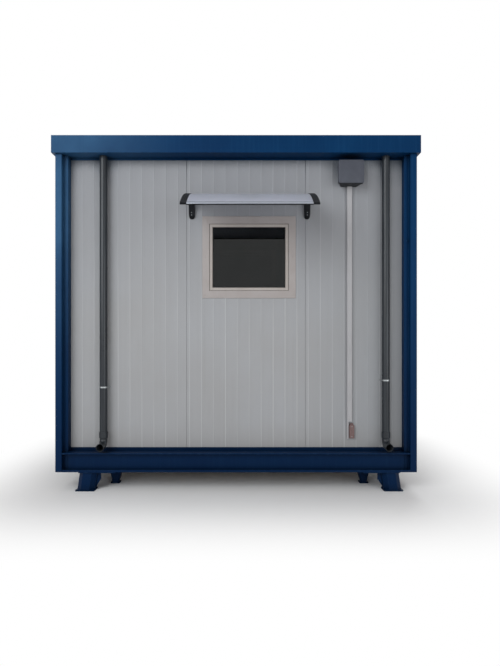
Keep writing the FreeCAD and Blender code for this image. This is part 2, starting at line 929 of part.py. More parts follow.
save("downpipe_left", downpipe(pipe_left_x))
save("downpipe_right", downpipe(pipe_right_x))
save("pipe_elbow_left", pipe_elbow(pipe_left_x))
save("pipe_elbow_right", pipe_elbow(pipe_right_x))
save("pipe_clamps", [pipe_strap(pipe_left_x, strap_left_z), pipe_strap(pipe_right_x, strap_right_z)])

# Junction box with a lid line, and the cable trunking below it with its terminal
box_front = -wall_y - box_depth
junction = block(
    box_left, box_left + box_width, box_front, -wall_y, box_bottom, box_bottom + box_height
)
junction = round_edges(junction, box_round, lambda edge: runs_along(edge, 1))
lid_rim = [e for e in junction.Edges if all(abs(v.Point.y - box_front) < 0.01 for v in e.Vertexes)]
junction = junction.makeChamfer(box_chamfer, lid_rim)
groove_y = box_front + box_lid_depth
groove = block(
    box_left - 1,
    box_left + box_width + 1,
    groove_y,
    groove_y + box_lid_groove,
    box_bottom - 1,
    box_bottom + box_height + 1,
)
core = block(
    box_left + box_lid_groove,
    box_left + box_width - box_lid_groove,
    groove_y - 1,
    groove_y + box_lid_groove + 1,
    box_bottom + box_lid_groove,
    box_bottom + box_height - box_lid_groove,
)
core = round_edges(core, box_round - box_lid_groove, lambda edge: runs_along(edge, 1))
save("junction_box", junction.cut(groove.cut(core)).removeSplitter())

trunking_right = trunking_left + trunking_width
cover = block(
    trunking_left, trunking_right, -wall_y - trunking_depth, -wall_y, trunking_cover_end, box_bottom
)
cover = round_edges(
    cover,
    trunking_round,
    lambda edge: runs_along(edge, 2) and edge.Vertexes[0].Point.y < -wall_y - 1,
)
tray = block(
    trunking_left,
    trunking_left + trunking_tray_edge,
    -wall_y - trunking_tray_depth,
    -wall_y,
    trunking_tray_end,
    trunking_cover_end,
)
save("cable_trunking", cover.fuse(tray).removeSplitter())

terminal_front = -wall_y - terminal_depth
terminal = block(
    terminal_left,
    terminal_left + terminal_width,
    terminal_front,
    -wall_y,
    terminal_bottom,
    terminal_bottom + terminal_height,
)
terminal = round_edges(terminal, terminal_round, lambda edge: runs_along(edge, 1))
gland_low = terminal_bottom + terminal_height
gland = block(
    terminal_left + (terminal_width - gland_width) / 2,
    terminal_left + (terminal_width + gland_width) / 2,
    -wall_y - gland_depth,
    -wall_y,
    gland_low,
    gland_low + gland_height,
)
save("terminal_block", terminal.fuse(gland).removeSplitter())


# Feet: the splayed front leg and the tapered inner leg hang from one plate under the frame
def leg_section(middle, front, half_face, chamfer, depth, z):
    """The plan of a folded leg that is open to the back, as one closed wire at a height."""
    half = half_face + chamfer
    thick = foot_steel
    lean = thick * math.tan(math.radians(22.5))
    plan = [
        (-half, depth),
        (-half, chamfer),
        (-half_face, 0),
        (half_face, 0),
        (half, chamfer),
        (half, depth),
        (half - thick, depth),
        (half - thick, chamfer + lean),
        (half_face - lean, thick),
        (-half_face + lean, thick),
        (-half + thick, chamfer + lean),
        (-half + thick, depth),
    ]
    return [V(middle + a, front + b, z) for a, b in plan]


def straight_sided(low_corners, high_corners):
    """A solid with flat sides between two outlines whose matching edges are parallel."""
    count = len(low_corners)
    outlines = [low_corners, high_corners]
    for i in range(count):
        after = (i + 1) % count
        outlines.append([low_corners[i], low_corners[after], high_corners[after], high_corners[i]])
    faces = [Part.Face(Part.makePolygon(line + [line[0]])) for line in outlines]
    return Part.Solid(Part.Shell(faces))


def flip(shape, side, end):
    """Mirror a piece that is drawn for the front left corner to another corner."""
    turned = shape
    if side > 0:
        turned = turned.mirror(V(0, 0, 0), V(1, 0, 0))
    if end > 0:
        turned = turned.mirror(V(0, 0, 0), V(0, 1, 0))
    return turned


def support_foot(outer_x):
    """One foot, drawn for the front left corner, with its front leg's centre at outer_x."""
    front = -post_y + foot_setback
    top = foot_height - foot_plate
    low = foot_plate
    leg = straight_sided(
        leg_section(outer_x - leg_splay, front, leg_face / 2, leg_chamfer, leg_depth, low),
        leg_section(outer_x, front, leg_face / 2, leg_chamfer, leg_depth, top),
    )
    inner_x = outer_x + inner_leg_inset
    inner_front = -post_y + inner_leg_setback
    low_half = inner_leg_bottom / 2 - inner_chamfer_low
    high_half = inner_leg_top / 2 - inner_chamfer_high
    inner_leg = straight_sided(
        leg_section(inner_x, inner_front, low_half, inner_chamfer_low, inner_leg_bottom, low),
        leg_section(inner_x, inner_front, high_half, inner_chamfer_high, inner_leg_top, top),
    )
    pad_x = outer_x - leg_splay
    pad = block(
        pad_x - foot_plate_width / 2,
        pad_x + foot_plate_width / 2,
        front - foot_plate,
        front - foot_plate + foot_plate_depth,
        0,
        foot_plate,
    )
    pad = round_edges(pad, foot_plate_round, lambda edge: runs_along(edge, 2))
    inner_pad = block(
        inner_x - inner_leg_plate / 2,
        inner_x + inner_leg_plate / 2,
        inner_front - foot_plate,
        inner_front - foot_plate + inner_leg_plate,
        0,
        foot_plate,
    )
    inner_pad = round_edges(inner_pad, foot_plate_round, lambda edge: runs_along(edge, 2))
    plate = block(
        outer_x - leg_face / 2 - leg_chamfer,
        inner_x + inner_leg_top / 2,
        -post_y + steel,
        inner_front + inner_leg_top,
        top,
        foot_height,
    )
    gusset_y = front + leg_depth / 2
    gusset_x = outer_x + leg_face / 2 + leg_chamfer - foot_steel
    gusset_end = outer_x + gusset_reach
    gusset = prism(
        "xz",
        [
            (gusset_x, top),
            (gusset_end, top),
            (gusset_end, top - gusset_end_height),
            (gusset_x - leg_splay, foot_plate),
        ],
        gusset_y,
        gusset_y + gusset_steel,
    )
    bite = Part.makeCylinder(
        gusset_bite,
        3 * gusset_steel,
        V(gusset_end + gusset_bite_out, gusset_y - gusset_steel, foot_plate + gusset_bite_rise),
        V(0, 1, 0),
    )
    gusset = gusset.cut(bite)
    whole = leg.fuse(inner_leg).fuse(pad).fuse(inner_pad).fuse(plate).fuse(gusset)
    return whole.removeSplitter()


for end_name, end in (("front", -1), ("back", 1)):
    save("support_foot_" + end_name + "_left", flip(support_foot(foot_left_x), -1, end))
    save("support_foot_" + end_name + "_right", flip(support_foot(-foot_right_x), 1, end))

# Door in the back wall: a casing and jambs, the closed leaf, and its handle and hinges
casing = block(
    door_left - door_casing + door_jamb,
    door_right + door_casing - door_jamb,
    wall_y,
    wall_y + door_casing_steel,
    base_top + sill_upstand,
    door_top + door_casing - door_jamb,
)
jambs = block(
    door_left, door_right, wall_y - panel_thickness, wall_y + door_casing_steel, base_top, door_top
)
leaf_left = door_left + door_jamb + door_gap
leaf_right = door_right - door_jamb - door_gap
leaf_bottom = floor_top + 2 * door_gap
leaf_top = door_top - door_jamb - door_gap
leaf_front = wall_y + door_casing_steel - door_leaf_setback
leaf_back = leaf_front - door_leaf_thickness
doorway_clear = block(
    leaf_left - door_gap,
    leaf_right + door_gap,
    wall_y - panel_thickness - 1,
    wall_y + door_casing_steel + 1,
    leaf_bottom - door_gap,
    leaf_top + door_gap,
)
door_stops = block(
    leaf_left - door_gap,
    leaf_right + door_gap,
    leaf_back - door_stop_steel,
    leaf_back,
    leaf_bottom - door_gap,
    leaf_top + door_gap,
)
stop_hole = block(
    leaf_left - door_gap + door_stop,
    leaf_right + door_gap - door_stop,
    leaf_back - door_stop_steel - 1,
    leaf_back + 1,
    leaf_bottom - door_gap + door_stop,
    leaf_top + door_gap - door_stop,
)
door_frame = jambs.fuse(casing).cut(doorway_clear).fuse(door_stops.cut(stop_hole))
save("door_frame", door_frame.removeSplitter())
leaf = block(leaf_left, leaf_right, leaf_back, leaf_front, leaf_bottom, leaf_top)
save("door_leaf", leaf)

handle_x = leaf_left + handle_inset
handle_z = floor_top + handle_height
plate = block(
    handle_x - handle_plate_width / 2,
    handle_x + handle_plate_width / 2,
    leaf_front,
    leaf_front + handle_plate_steel,
    handle_z - handle_plate_below,
    handle_z - handle_plate_below + handle_plate_height,
)
plate = round_edges(plate, handle_plate_round, lambda edge: runs_along(edge, 1))
spindle = Part.makeCylinder(
    spindle_radius, handle_stand, V(handle_x, leaf_front, handle_z), V(0, 1, 0)
)
lever = Part.makeCylinder(
    handle_radius,
    handle_length,
    V(handle_x - handle_overrun, leaf_front + handle_stand, handle_z),
    V(1, 0, 0),
)
fittings = [plate.fuse(spindle).fuse(lever).removeSplitter()]
casing_front = wall_y + door_casing_steel
for middle_z in (leaf_bottom + hinge_inset, (leaf_bottom + leaf_top) / 2, leaf_top - hinge_inset):
    low = middle_z - hinge_length / 2
    pin = Part.makeCylinder(
        hinge_radius, hinge_length, V(leaf_right, casing_front + hinge_radius, low)
    )
    hinge_leaf = block(
        leaf_right - hinge_leaf_width,
        leaf_right,
        leaf_front,
        casing_front + hinge_leaf_steel,
        low,
        low + hinge_length,
    )
    frame_leaf = block(
        leaf_right + door_gap,
        leaf_right + hinge_leaf_width,
        casing_front,
        casing_front + hinge_leaf_steel,
        low,
        low + hinge_length,
    )
    fittings.append(pin.fuse(hinge_leaf).fuse(frame_leaf).removeSplitter())
save("door_fittings", fittings)
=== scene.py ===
import bmesh
import bpy
import math
import numpy as np
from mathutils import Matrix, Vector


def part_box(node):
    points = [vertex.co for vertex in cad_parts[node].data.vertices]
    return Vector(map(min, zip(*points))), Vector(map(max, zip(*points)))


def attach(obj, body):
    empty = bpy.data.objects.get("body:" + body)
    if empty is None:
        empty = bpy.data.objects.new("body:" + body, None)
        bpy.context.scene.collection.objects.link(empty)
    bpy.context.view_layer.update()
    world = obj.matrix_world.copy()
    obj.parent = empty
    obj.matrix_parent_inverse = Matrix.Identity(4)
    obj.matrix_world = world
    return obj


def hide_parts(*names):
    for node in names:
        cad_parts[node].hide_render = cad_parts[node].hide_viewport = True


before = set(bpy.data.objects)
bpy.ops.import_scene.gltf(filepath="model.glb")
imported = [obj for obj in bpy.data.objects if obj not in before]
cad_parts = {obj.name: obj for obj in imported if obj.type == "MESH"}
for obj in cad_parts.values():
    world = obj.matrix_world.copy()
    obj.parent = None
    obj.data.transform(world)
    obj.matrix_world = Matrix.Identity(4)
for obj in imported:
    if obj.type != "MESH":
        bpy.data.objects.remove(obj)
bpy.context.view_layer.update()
mm = 0.001


# Support feet: splayed channel legs with a gusset, cold formed and welded to steel plates.
# They hang under the base frame and are painted with the same alkyd enamel as the frame.
def linear(code):
    """A hex colour from sRGB to linear: a straight part near black, else the power 2.4."""
    value = np.array([int(code[i:i + 2], 16) for i in (1, 3, 5)]) / 255
    light = np.where(value <= 0.04045, value / 12.92, ((value + 0.055) / 1.055) ** 2.4)
    return (*light.tolist(), 1.0)


def add(tree, kind, settings=None, inputs=None):
    """Add a node; settings are its properties, inputs its values or the sockets that feed it."""
    node = tree.nodes.new("ShaderNode" + kind)
    for name, value in (settings or {}).items():
        setattr(node, name, value)
    for name, value in (inputs or {}).items():
        if isinstance(value, bpy.types.NodeSocket):
            tree.links.new(value, node.inputs[name])
        else:
            node.inputs[name].default_value = value
    return node


def new_finish(name, roughness, specular=0.3, metallic=0.0):
    """A new material with its tree, its shader and the object's own coordinates in metres."""
    material = bpy.data.materials.new(name)
    material.use_nodes = True
    tree = material.node_tree
    shader = tree.nodes["Principled BSDF"]
    shader.inputs["Roughness"].default_value = roughness
    shader.inputs["Specular IOR Level"].default_value = specular
    shader.inputs["Metallic"].default_value = metallic
    place = add(tree, "TexCoord").outputs["Object"]
    return material, tree, shader, place


def dress(names, material):
    """Give CAD nodes a finish through their own material slots."""
    for name in names:
        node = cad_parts[name]
        for holder in node.material_slots:
            holder.material = material


blend = {"data_type": "RGBA"}
times = {"operation": "MULTIPLY"}


def noise(tree, vector, scale, detail):
    """A soft noise; a scale of 1000 / 9 gives blotches about 9 mm wide."""
    return add(tree, "TexNoise", inputs={"Vector": vector, "Scale": scale, "Detail": detail})


def two_tones(tree, shader, pattern, dark, light):
    """Make the base colour run from a dark to a light tone as the pattern grows."""
    colour = add(tree, "Mix", blend, {0: pattern, 6: linear(dark), 7: linear(light)})
    tree.links.new(colour.outputs[2], shader.inputs["Base Color"])


def vary_roughness(tree, shader, pattern, least, most):
    """Let the roughness run from the least to the most as the pattern grows."""
    rough = add(tree, "MapRange", inputs={"Value": pattern, "To Min": least, "To Max": most})
    tree.links.new(rough.outputs[0], shader.inputs["Roughness"])


def grained_and_rounded(tree, shader, place, scale, strength):
    """Shade the edges as if rounded to 2 mm, with a fine moulded grain over them."""
    rounded = add(tree, "Bevel", {"samples": 4}, {"Radius": 2 * mm})
    grain = noise(tree, place, scale, 2.0)
    relief = add(tree, "Bump", inputs={
        "Height": grain.outputs["Fac"], "Strength": strength, "Distance": 0.5 * mm,
        "Normal": rounded.outputs[0],
    })
    tree.links.new(relief.outputs[0], shader.inputs["Normal"])


# Alkyd enamel on steel: a deep satin blue that chalks pale at the upper left corner, which also
# carries a painted sheen, runs in faint streaks, is painted darker low down and in its recesses as
# shade, and wears to a lighter blue along its folded edges.
enamel, tree, shader, place = new_finish("alkyd_enamel_blue", 0.42, 0.06)
height = add(tree, "SeparateXYZ", inputs={"Vector": place}).outputs
cloud = noise(tree, place, 1000 / 420, 5.0)
rain = add(tree, "Mapping", inputs={"Vector": place, "Scale": (1000 / 22, 1000 / 22, 1000 / 900)})
streak = noise(tree, rain.outputs[0], 1.0, 3.0)
# Pale chalking together with a painted sheen: the blue is lightened in patches towards the upper left
left_chalk_and_sheen = add(tree, "MapRange", {"interpolation_type": "SMOOTHSTEP"}, {
    "Value": height["X"], "From Min": -0.35, "From Max": -1.50,
})
high_chalk_and_sheen = add(tree, "MapRange", {"interpolation_type": "SMOOTHSTEP"}, {
    "Value": height["Z"], "From Min": 0.55, "From Max": 2.50,
})
chalk_and_sheen = add(tree, "Math", times, {0: left_chalk_and_sheen.outputs[0], 1: high_chalk_and_sheen.outputs[0]})
patchy_chalk_and_sheen = add(tree, "MapRange", inputs={
    "Value": cloud.outputs["Fac"], "From Min": 0.3, "From Max": 0.7, "To Min": 0.30, "To Max": 0.75,
})
chalk_and_sheen = add(tree, "Math", times, {0: chalk_and_sheen.outputs[0], 1: patchy_chalk_and_sheen.outputs[0]})
colour = add(tree, "Mix", blend, {
    0: cloud.outputs["Fac"], 6: linear("#012347"), 7: linear("#06355c"),
})
colour = add(tree, "Mix", blend, {0: chalk_and_sheen.outputs[0], 6: colour.outputs[2], 7: linear("#3c6487")})
run = add(tree, "MapRange", inputs={
    "Value": streak.outputs["Fac"], "From Min": 0.52, "From Max": 0.80, "To Max": 0.35,
})
colour = add(tree, "Mix", blend, {0: run.outputs[0], 6: colour.outputs[2], 7: linear("#1b4266")})
# Painted shade: the enamel is drawn darker towards the bottom
painted_low_shade = add(tree, "MapRange", inputs={
    "Value": height["Z"], "From Min": 1.90, "From Max": 0.10, "To Max": 0.72,
})
colour = add(tree, "Mix", blend, {0: painted_low_shade.outputs[0], 6: colour.outputs[2], 7: linear("#031430")})
rounded = add(tree, "Bevel", {"samples": 4}, {"Radius": 3 * mm})
flat_normal = add(tree, "NewGeometry").outputs["Normal"]
facing = add(tree, "VectorMath", {"operation": "DOT_PRODUCT"}, {
    0: rounded.outputs[0], 1: flat_normal,
})
edge = add(tree, "MapRange", inputs={
    "Value": facing.outputs["Value"], "From Min": 0.985, "From Max": 0.90, "To Max": 0.6,
})
scuffs = noise(tree, place, 1000 / 35, 4.0)
worn = add(tree, "MapRange", inputs={
    "Value": scuffs.outputs["Fac"], "From Min": 0.45, "From Max": 0.62,
})
worn = add(tree, "Math", times, {0: worn.outputs[0], 1: edge.outputs[0]})
colour = add(tree, "Mix", blend, {0: worn.outputs[0], 6: colour.outputs[2], 7: linear("#3d5f84")})
# Painted shade: near black in recesses and where parts close in, found by occlusion
hidden = add(tree, "AmbientOcclusion", {"samples": 6}, {"Distance": 110 * mm})
painted_shade = add(tree, "MapRange", inputs={
    "Value": hidden.outputs["AO"], "From Min": 0.80, "From Max": 0.25, "To Max": 0.85,
})
colour = add(tree, "Mix", blend, {0: painted_shade.outputs[0], 6: colour.outputs[2], 7: linear("#010814")})
tree.links.new(colour.outputs[2], shader.inputs["Base Color"])
vary_roughness(tree, shader, cloud.outputs["Fac"], 0.34, 0.56)
# Brush marks of about 9 mm, drawn coarser than real ones so that they show
brush = noise(tree, place, 1000 / 9, 2.0)
relief = add(tree, "Bump", inputs={
    "Height": brush.outputs["Fac"], "Strength": 0.12, "Distance": 1 * mm, "Normal": rounded.outputs[0],
})
tree.links.new(relief.outputs[0], shader.inputs["Normal"])

feet = ["support_foot_" + end + "_" + side for end in ("front", "back") for side in ("left", "right")]
dress(feet, enamel)

# Base frame: four channel beams open to the outside and galvanised joists between them.
# The beams are welded to the corner posts, and the joists hang from the beams' upper ledge.
dress(["base_beam_" + side for side in ("front", "back", "left", "right")], enamel)

# Galvanised steel: hot-dip zinc freezes into pale spangles, and dulls to a matt grey bloom.
galvanised, tree, shader, place = new_finish("galvanised_steel", 0.45, 0.5, 0.75)
spangle = add(tree, "TexVoronoi", inputs={"Vector": place, "Scale": 1000 / 14})
grain = add(tree, "SeparateColor", inputs={"Color": spangle.outputs["Color"]})
bloom = noise(tree, place, 1000 / 300, 6.0)
colour = add(tree, "Mix", blend, {
    0: grain.outputs[0], 6: linear("#8c9296"), 7: linear("#a9afb2"),
})
dull = add(tree, "MapRange", inputs={
    "Value": bloom.outputs["Fac"], "From Min": 0.45, "From Max": 0.75, "To Max": 0.6,
})
colour = add(tree, "Mix", blend, {0: dull.outputs[0], 6: colour.outputs[2], 7: linear("#b9bab8")})
tree.links.new(colour.outputs[2], shader.inputs["Base Color"])
vary_roughness(tree, shader, bloom.outputs["Fac"], 0.38, 0.70)
relief = add(tree, "Bump", inputs={
    "Height": grain.outputs[1], "Strength": 0.08, "Distance": 0.5 * mm,
})
tree.links.new(relief.outputs[0], shader.inputs["Normal"])
dress(["floor_joists", "roof_rafters"], galvanised)

# Floor deck: film-faced plywood sheets laid on the joists, seen only through the window.
# Beech veneer under a thin brown film: long grain along the boards and a dull sheen.
plywood, tree, shader, place = new_finish("plywood", 0.55)
along = add(tree, "Mapping", inputs={"Vector": place, "Scale": (1000 / 400, 1000 / 12, 1000 / 12)})
veneer = noise(tree, along.outputs[0], 1.0, 6.0)
two_tones(tree, shader, veneer.outputs["Fac"], "#5a4632", "#8b7153")
relief = add(tree, "Bump", inputs={
    "Height": veneer.outputs["Fac"], "Strength": 0.2, "Distance": 0.5 * mm,
})
tree.links.new(relief.outputs[0], shader.inputs["Normal"])
dress(["floor_deck"], plywood)

# Corner posts: one cold-formed section of 3 mm steel, stepped back twice towards the walls.
# They are welded to the base frame and bolted to the roof frame.
posts = ["corner_post_" + end + "_" + side for end in ("front", "back") for side in ("left", "right")]
dress(posts, enamel)


def grid_faces(rows, columns, loop_rows=False, loop_columns=False):
    """Quads between neighbouring rows and columns of points that are numbered row by row."""
    row = np.arange(rows if loop_rows else rows - 1)
    column = np.arange(columns if loop_columns else columns - 1)
    row, column = np.meshgrid(row, column, indexing="ij")
    below = (row + 1) % rows
    right = (column + 1) % columns
    corners = [(row, column), (row, right), (below, right), (below, column)]
    return np.stack([a * columns + b for a, b in corners], -1).reshape(-1, 4).tolist()


def cabin_piece(name, points, faces, material, nodes=()):
    """Put points and faces into a closed mesh with its faces outwards, and hang it on the cabin.

    Faces that meet at less than 30 degrees are shaded as one smooth surface.
    """
    mesh = bpy.data.meshes.new(name)
    mesh.from_pydata(np.asarray(points).reshape(-1, 3).tolist(), [], faces)
    shell = bmesh.new()
    shell.from_mesh(mesh)
    bmesh.ops.remove_doubles(shell, verts=shell.verts, dist=0.001 * mm)
    bmesh.ops.recalc_face_normals(shell, faces=shell.faces)
    shell.to_mesh(mesh)
    shell.free()
    mesh.shade_smooth()
    mesh.set_sharp_from_angle(angle=math.radians(30))
    mesh.materials.append(material)
    piece = bpy.data.objects.new(name, mesh)
    bpy.context.scene.collection.objects.link(piece)
    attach(piece, "root")
    if nodes:
        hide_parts(*nodes)
    return piece


def turned(profile, sides):
    """A head turned round Z: each profile point's radius times the cosine and sine of the turn."""
    radius, level = np.array(profile).T
    turn = np.arange(sides) / sides * 2 * math.pi
    points = np.stack([
        radius[:, None] * np.cos(turn),
        radius[:, None] * np.sin(turn),
        np.repeat(level[:, None], sides, 1),
    ], -1)
    faces = grid_faces(len(radius), sides, loop_columns=True)
    last = (len(radius) - 1) * sides
    faces.append(list(range(sides)))
    faces.append(list(range(last, last + sides)))
    return points.reshape(-1, 3), faces


def repeated(template, places, facing):
    """Copies of one small mesh, turned by a matrix whose last column is its outward direction."""
    points, faces = template
    turned_points = points @ np.array(facing).T
    moved = turned_points[None] + np.array(places)[:, None]
    numbered = [[i + k * len(points) for i in face] for k in range(len(places)) for face in faces]
    return moved.reshape(-1, 3), numbered


to_front = [[1, 0, 0], [0, 0, -1], [0, 1, 0]]
to_back = [[-1, 0, 0], [0, 0, 1], [0, 1, 0]]
to_top = [[1, 0, 0], [0, 1, 0], [0, 0, 1]]

# A hexagon bolt head on a washer closes the inner strip of the right front post
washer_radius = 11 * mm
head_radius = 8.5 * mm
head_height = 6 * mm
hexagon = turned([
    (washer_radius, 0.0), (washer_radius, 1.6 * mm), (head_radius, 1.6 * mm),
    (head_radius, head_height - 1 * mm), (head_radius * 0.88, head_height),
], 6)
post_low, post_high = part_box("corner_post_front_right")
bolt_inset = 68 * mm
bolt_depth = 45 * mm
bolt_height = 2.052
bolt_place = (post_high.x - bolt_inset, post_low.y + bolt_depth, bolt_height)
points, faces = repeated(hexagon, [bolt_place], to_front)
cabin_piece("post_bolt", points, faces, enamel)

# Wall guides: galvanised channels folded from 1.8 mm sheet and painted with the frame.
# The boards stand in the lower one and are held by the angle along their top.
dress(["sill_guides", "head_guides"], enamel)

# Wall boards: sandwich panels, two coated steel skins on a foam core, 1 m to the board.
# Each skin is roll formed with a slim raised bead every 100 mm, and boards meet in a V seam.
# Polyester coil coating: a pale grey satin skin with an embossed grain, dulled by rain streaks
# and splashed with dirt along its foot. Painted shade darkens it towards the right, towards the
# top and close under the roof edge, and a painted highlight runs along each bead's crest.
coating, tree, shader, place = new_finish("polyester_coil_coating", 0.5, 0.25)
height = add(tree, "SeparateXYZ", inputs={"Vector": place}).outputs
cloud = noise(tree, place, 1000 / 700, 5.0)
rain = add(tree, "Mapping", inputs={"Vector": place, "Scale": (1000 / 35, 1000 / 35, 1000 / 1400)})
streak = noise(tree, rain.outputs[0], 1.0, 4.0)
colour = add(tree, "Mix", blend, {
    0: cloud.outputs["Fac"], 6: linear("#929190"), 7: linear("#9d9fa3"),
})
run = add(tree, "MapRange", inputs={
    "Value": streak.outputs["Fac"], "From Min": 0.50, "From Max": 0.80, "To Max": 0.14,
})
colour = add(tree, "Mix", blend, {0: run.outputs[0], 6: colour.outputs[2], 7: linear("#84827e")})
shade_side = add(tree, "MapRange", {"interpolation_type": "SMOOTHSTEP"}, {
    "Value": height["X"], "From Min": 0.30, "From Max": 1.40, "To Max": 0.55,
})
colour = add(tree, "Mix", blend, {0: shade_side.outputs[0], 6: colour.outputs[2], 7: linear("#808387")})
# Painted shade: the boards are drawn darker towards the top
painted_top_shade = add(tree, "MapRange", {"interpolation_type": "SMOOTHSTEP"}, {
    "Value": height["Z"], "From Min": 1.20, "From Max": 2.60, "To Max": 0.70,
})
colour = add(tree, "Mix", blend, {0: painted_top_shade.outputs[0], 6: colour.outputs[2], 7: linear("#83858a")})
# Painted shade: a dark band close under the roof edge stands in for the overhang's shadow
hidden = add(tree, "AmbientOcclusion", {"samples": 6}, {"Distance": 130 * mm})
painted_shade = add(tree, "MapRange", inputs={
    "Value": hidden.outputs["AO"], "From Min": 0.80, "From Max": 0.40, "To Max": 0.90,
})
under_roof_edge = add(tree, "MapRange", inputs={"Value": height["Z"], "From Min": 2.50, "From Max": 2.70})
painted_shade = add(tree, "Math", times, {0: painted_shade.outputs[0], 1: under_roof_edge.outputs[0]})
colour = add(tree, "Mix", blend, {0: painted_shade.outputs[0], 6: colour.outputs[2], 7: linear("#2f3b46")})
splash = add(tree, "MapRange", inputs={
    "Value": height["Z"], "From Min": 0.55, "From Max": 0.34, "To Max": 0.5,
})
splash_patch = add(tree, "MapRange", inputs={
    "Value": cloud.outputs["Fac"], "From Min": 0.35, "From Max": 0.7, "To Max": 0.6,
})
splash = add(tree, "Math", times, {0: splash.outputs[0], 1: splash_patch.outputs[0]})
colour = add(tree, "Mix", blend, {0: splash.outputs[0], 6: colour.outputs[2], 7: linear("#8b867f")})
# A painted highlight: a paler line along the crest of each bead, broken up in streaks and weaker high up
crest = add(tree, "Attribute", {"attribute_name": "crest"}).outputs["Fac"]
highlight_breakup = add(tree, "MapRange", inputs={
    "Value": streak.outputs["Fac"], "From Min": 0.35, "From Max": 0.62, "To Min": 0.05, "To Max": 0.6,
})
weaker_high_up = add(tree, "MapRange", inputs={
    "Value": height["Z"], "From Min": 2.30, "From Max": 1.40, "To Min": 0.35,
})
painted_crest_highlight = add(tree, "Math", times, {0: crest, 1: highlight_breakup.outputs[0]})
painted_crest_highlight = add(tree, "Math", times, {0: painted_crest_highlight.outputs[0], 1: weaker_high_up.outputs[0]})
colour = add(tree, "Mix", blend, {0: painted_crest_highlight.outputs[0], 6: colour.outputs[2], 7: linear("#b4b5b8")})
tree.links.new(colour.outputs[2], shader.inputs["Base Color"])
vary_roughness(tree, shader, cloud.outputs["Fac"], 0.42, 0.60)
# The emboss is drawn as a 7 mm grain, coarser than the real one so that it shows
emboss = noise(tree, place, 1000 / 7, 2.0)
waves = noise(tree, place, 1000 / 450, 1.0)
swell = add(tree, "Bump", inputs={
    "Height": waves.outputs["Fac"], "Strength": 0.25, "Distance": 6 * mm,
})
relief = add(tree, "Bump", inputs={
    "Height": emboss.outputs["Fac"], "Strength": 0.10, "Distance": 0.6 * mm, "Normal": swell.outputs[0],
})
tree.links.new(relief.outputs[0], shader.inputs["Normal"])

bead_pitch = 100 * mm
bead_start = 25 * mm
bead_half = 6 * mm
bead_rise = 1.4 * mm
seam_depth = 4 * mm
seam_half = 3 * mm


def ribbed_board(name, nodes, side, hole=None):
    """A board as a grid of stations across it and levels up it, with a skin on both faces.

    Beyond the face, the outer skin rises at each bead by the bead's rise times the squared cosine
    of the way from its middle, and falls off along a straight slope at both seams. Cells inside the
    hole are left out, and a wall closes every edge between a kept cell and a missing one.
    """
    low, high = (np.array(corner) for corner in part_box(nodes[0]))
    run = 0 if side in ("front", "back") else 1
    depth = 1 - run
    outward = -1 if side in ("front", "left") else 1
    face = low[depth] if outward < 0 else high[depth]
    inner_face = high[depth] if outward < 0 else low[depth]
    start, end = low[run], high[run]
    middles = np.arange(start + bead_start, end - seam_half - bead_half, bead_pitch)
    if side in ("back", "left"):
        middles = np.arange(end - bead_start, start + seam_half + bead_half, -bead_pitch)
    around = np.linspace(-bead_half, bead_half, 7)
    stations = [start, start + seam_half, end - seam_half, end]
    stations += (middles[:, None] + around).ravel().tolist()
    levels = [low[2], high[2]]
    if hole:
        stations += [hole[0], hole[1]]
        levels += [hole[2], hole[3]]
    stations = np.unique(np.round(stations, 6))
    levels = np.unique(np.round(levels, 6))
    offset = np.abs(stations[:, None] - middles).min(1)
    rise = bead_rise * np.cos(np.clip(offset / bead_half, 0, 1) * math.pi / 2) ** 2
    to_seam = np.minimum(stations - start, end - stations)
    rise -= seam_depth * np.clip(1 - to_seam / seam_half, 0, 1)
    u, v = np.meshgrid(stations, levels, indexing="ij")
    outer = np.empty(u.shape + (3,))
    outer[..., run] = u
    outer[..., depth] = face + outward * rise[:, None]
    outer[..., 2] = v
    inner = outer.copy()
    inner[..., depth] = inner_face
    kept = np.ones((len(stations) - 1, len(levels) - 1), bool)
    if hole:
        hair = 1e-6
        across = (stations[:-1] >= hole[0] - hair) & (stations[1:] <= hole[1] + hair)
        up = (levels[:-1] >= hole[2] - hair) & (levels[1:] <= hole[3] + hair)
        kept = ~(across[:, None] & up[None])
    count = len(levels)
    total = len(stations) * count
    i, j = np.nonzero(kept)
    quads = np.stack([i * count + j, (i + 1) * count + j, (i + 1) * count + j + 1, i * count + j + 1], -1)
    padded = np.pad(kept, 1)
    i, j = np.nonzero(padded[:-1, 1:-1] != padded[1:, 1:-1])
    upright = np.stack([i * count + j, i * count + j + 1], -1)
    i, j = np.nonzero(padded[1:-1, :-1] != padded[1:-1, 1:])
    level_edges = np.stack([i * count + j, (i + 1) * count + j], -1)
    edges = np.concatenate([upright, level_edges])
    walls = np.stack([edges[:, 0], edges[:, 1], edges[:, 1] + total, edges[:, 0] + total], -1)
    faces = np.concatenate([quads, quads[:, ::-1] + total, walls]).tolist()
    points = np.concatenate([outer.reshape(-1, 3), inner.reshape(-1, 3)])
    board = cabin_piece(name, points, faces, coating, nodes)
    place = np.empty(len(board.data.vertices) * 3)
    board.data.vertices.foreach_get("co", place)
    beyond = outward * (place.reshape(-1, 3)[:, depth] - face)
    crest = board.data.attributes.new("crest", "FLOAT", "POINT")
    crest.data.foreach_set("value", np.clip(beyond / bead_rise, 0, 1))
    return board


sash_low, sash_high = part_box("window_sash")
sleeve = 13 * mm
window_hole = (sash_low.x - sleeve, sash_high.x + sleeve, sash_low.z - sleeve, sash_high.z + sleeve)
ribbed_board("front_board_left", ["front_panel_left"], "front")
ribbed_board("front_board_middle", ["front_panel_middle"], "front", window_hole)
ribbed_board("front_board_right", ["front_panel_right"], "front")
for where in ("left", "right", "over_door"):
    ribbed_board("back_board_" + where, ["back_panel_" + where], "back")
for wall in ("left", "right"):
    for where in ("front", "back"):
        ribbed_board(wall + "_board_" + where, [wall + "_panel_" + where], wall)

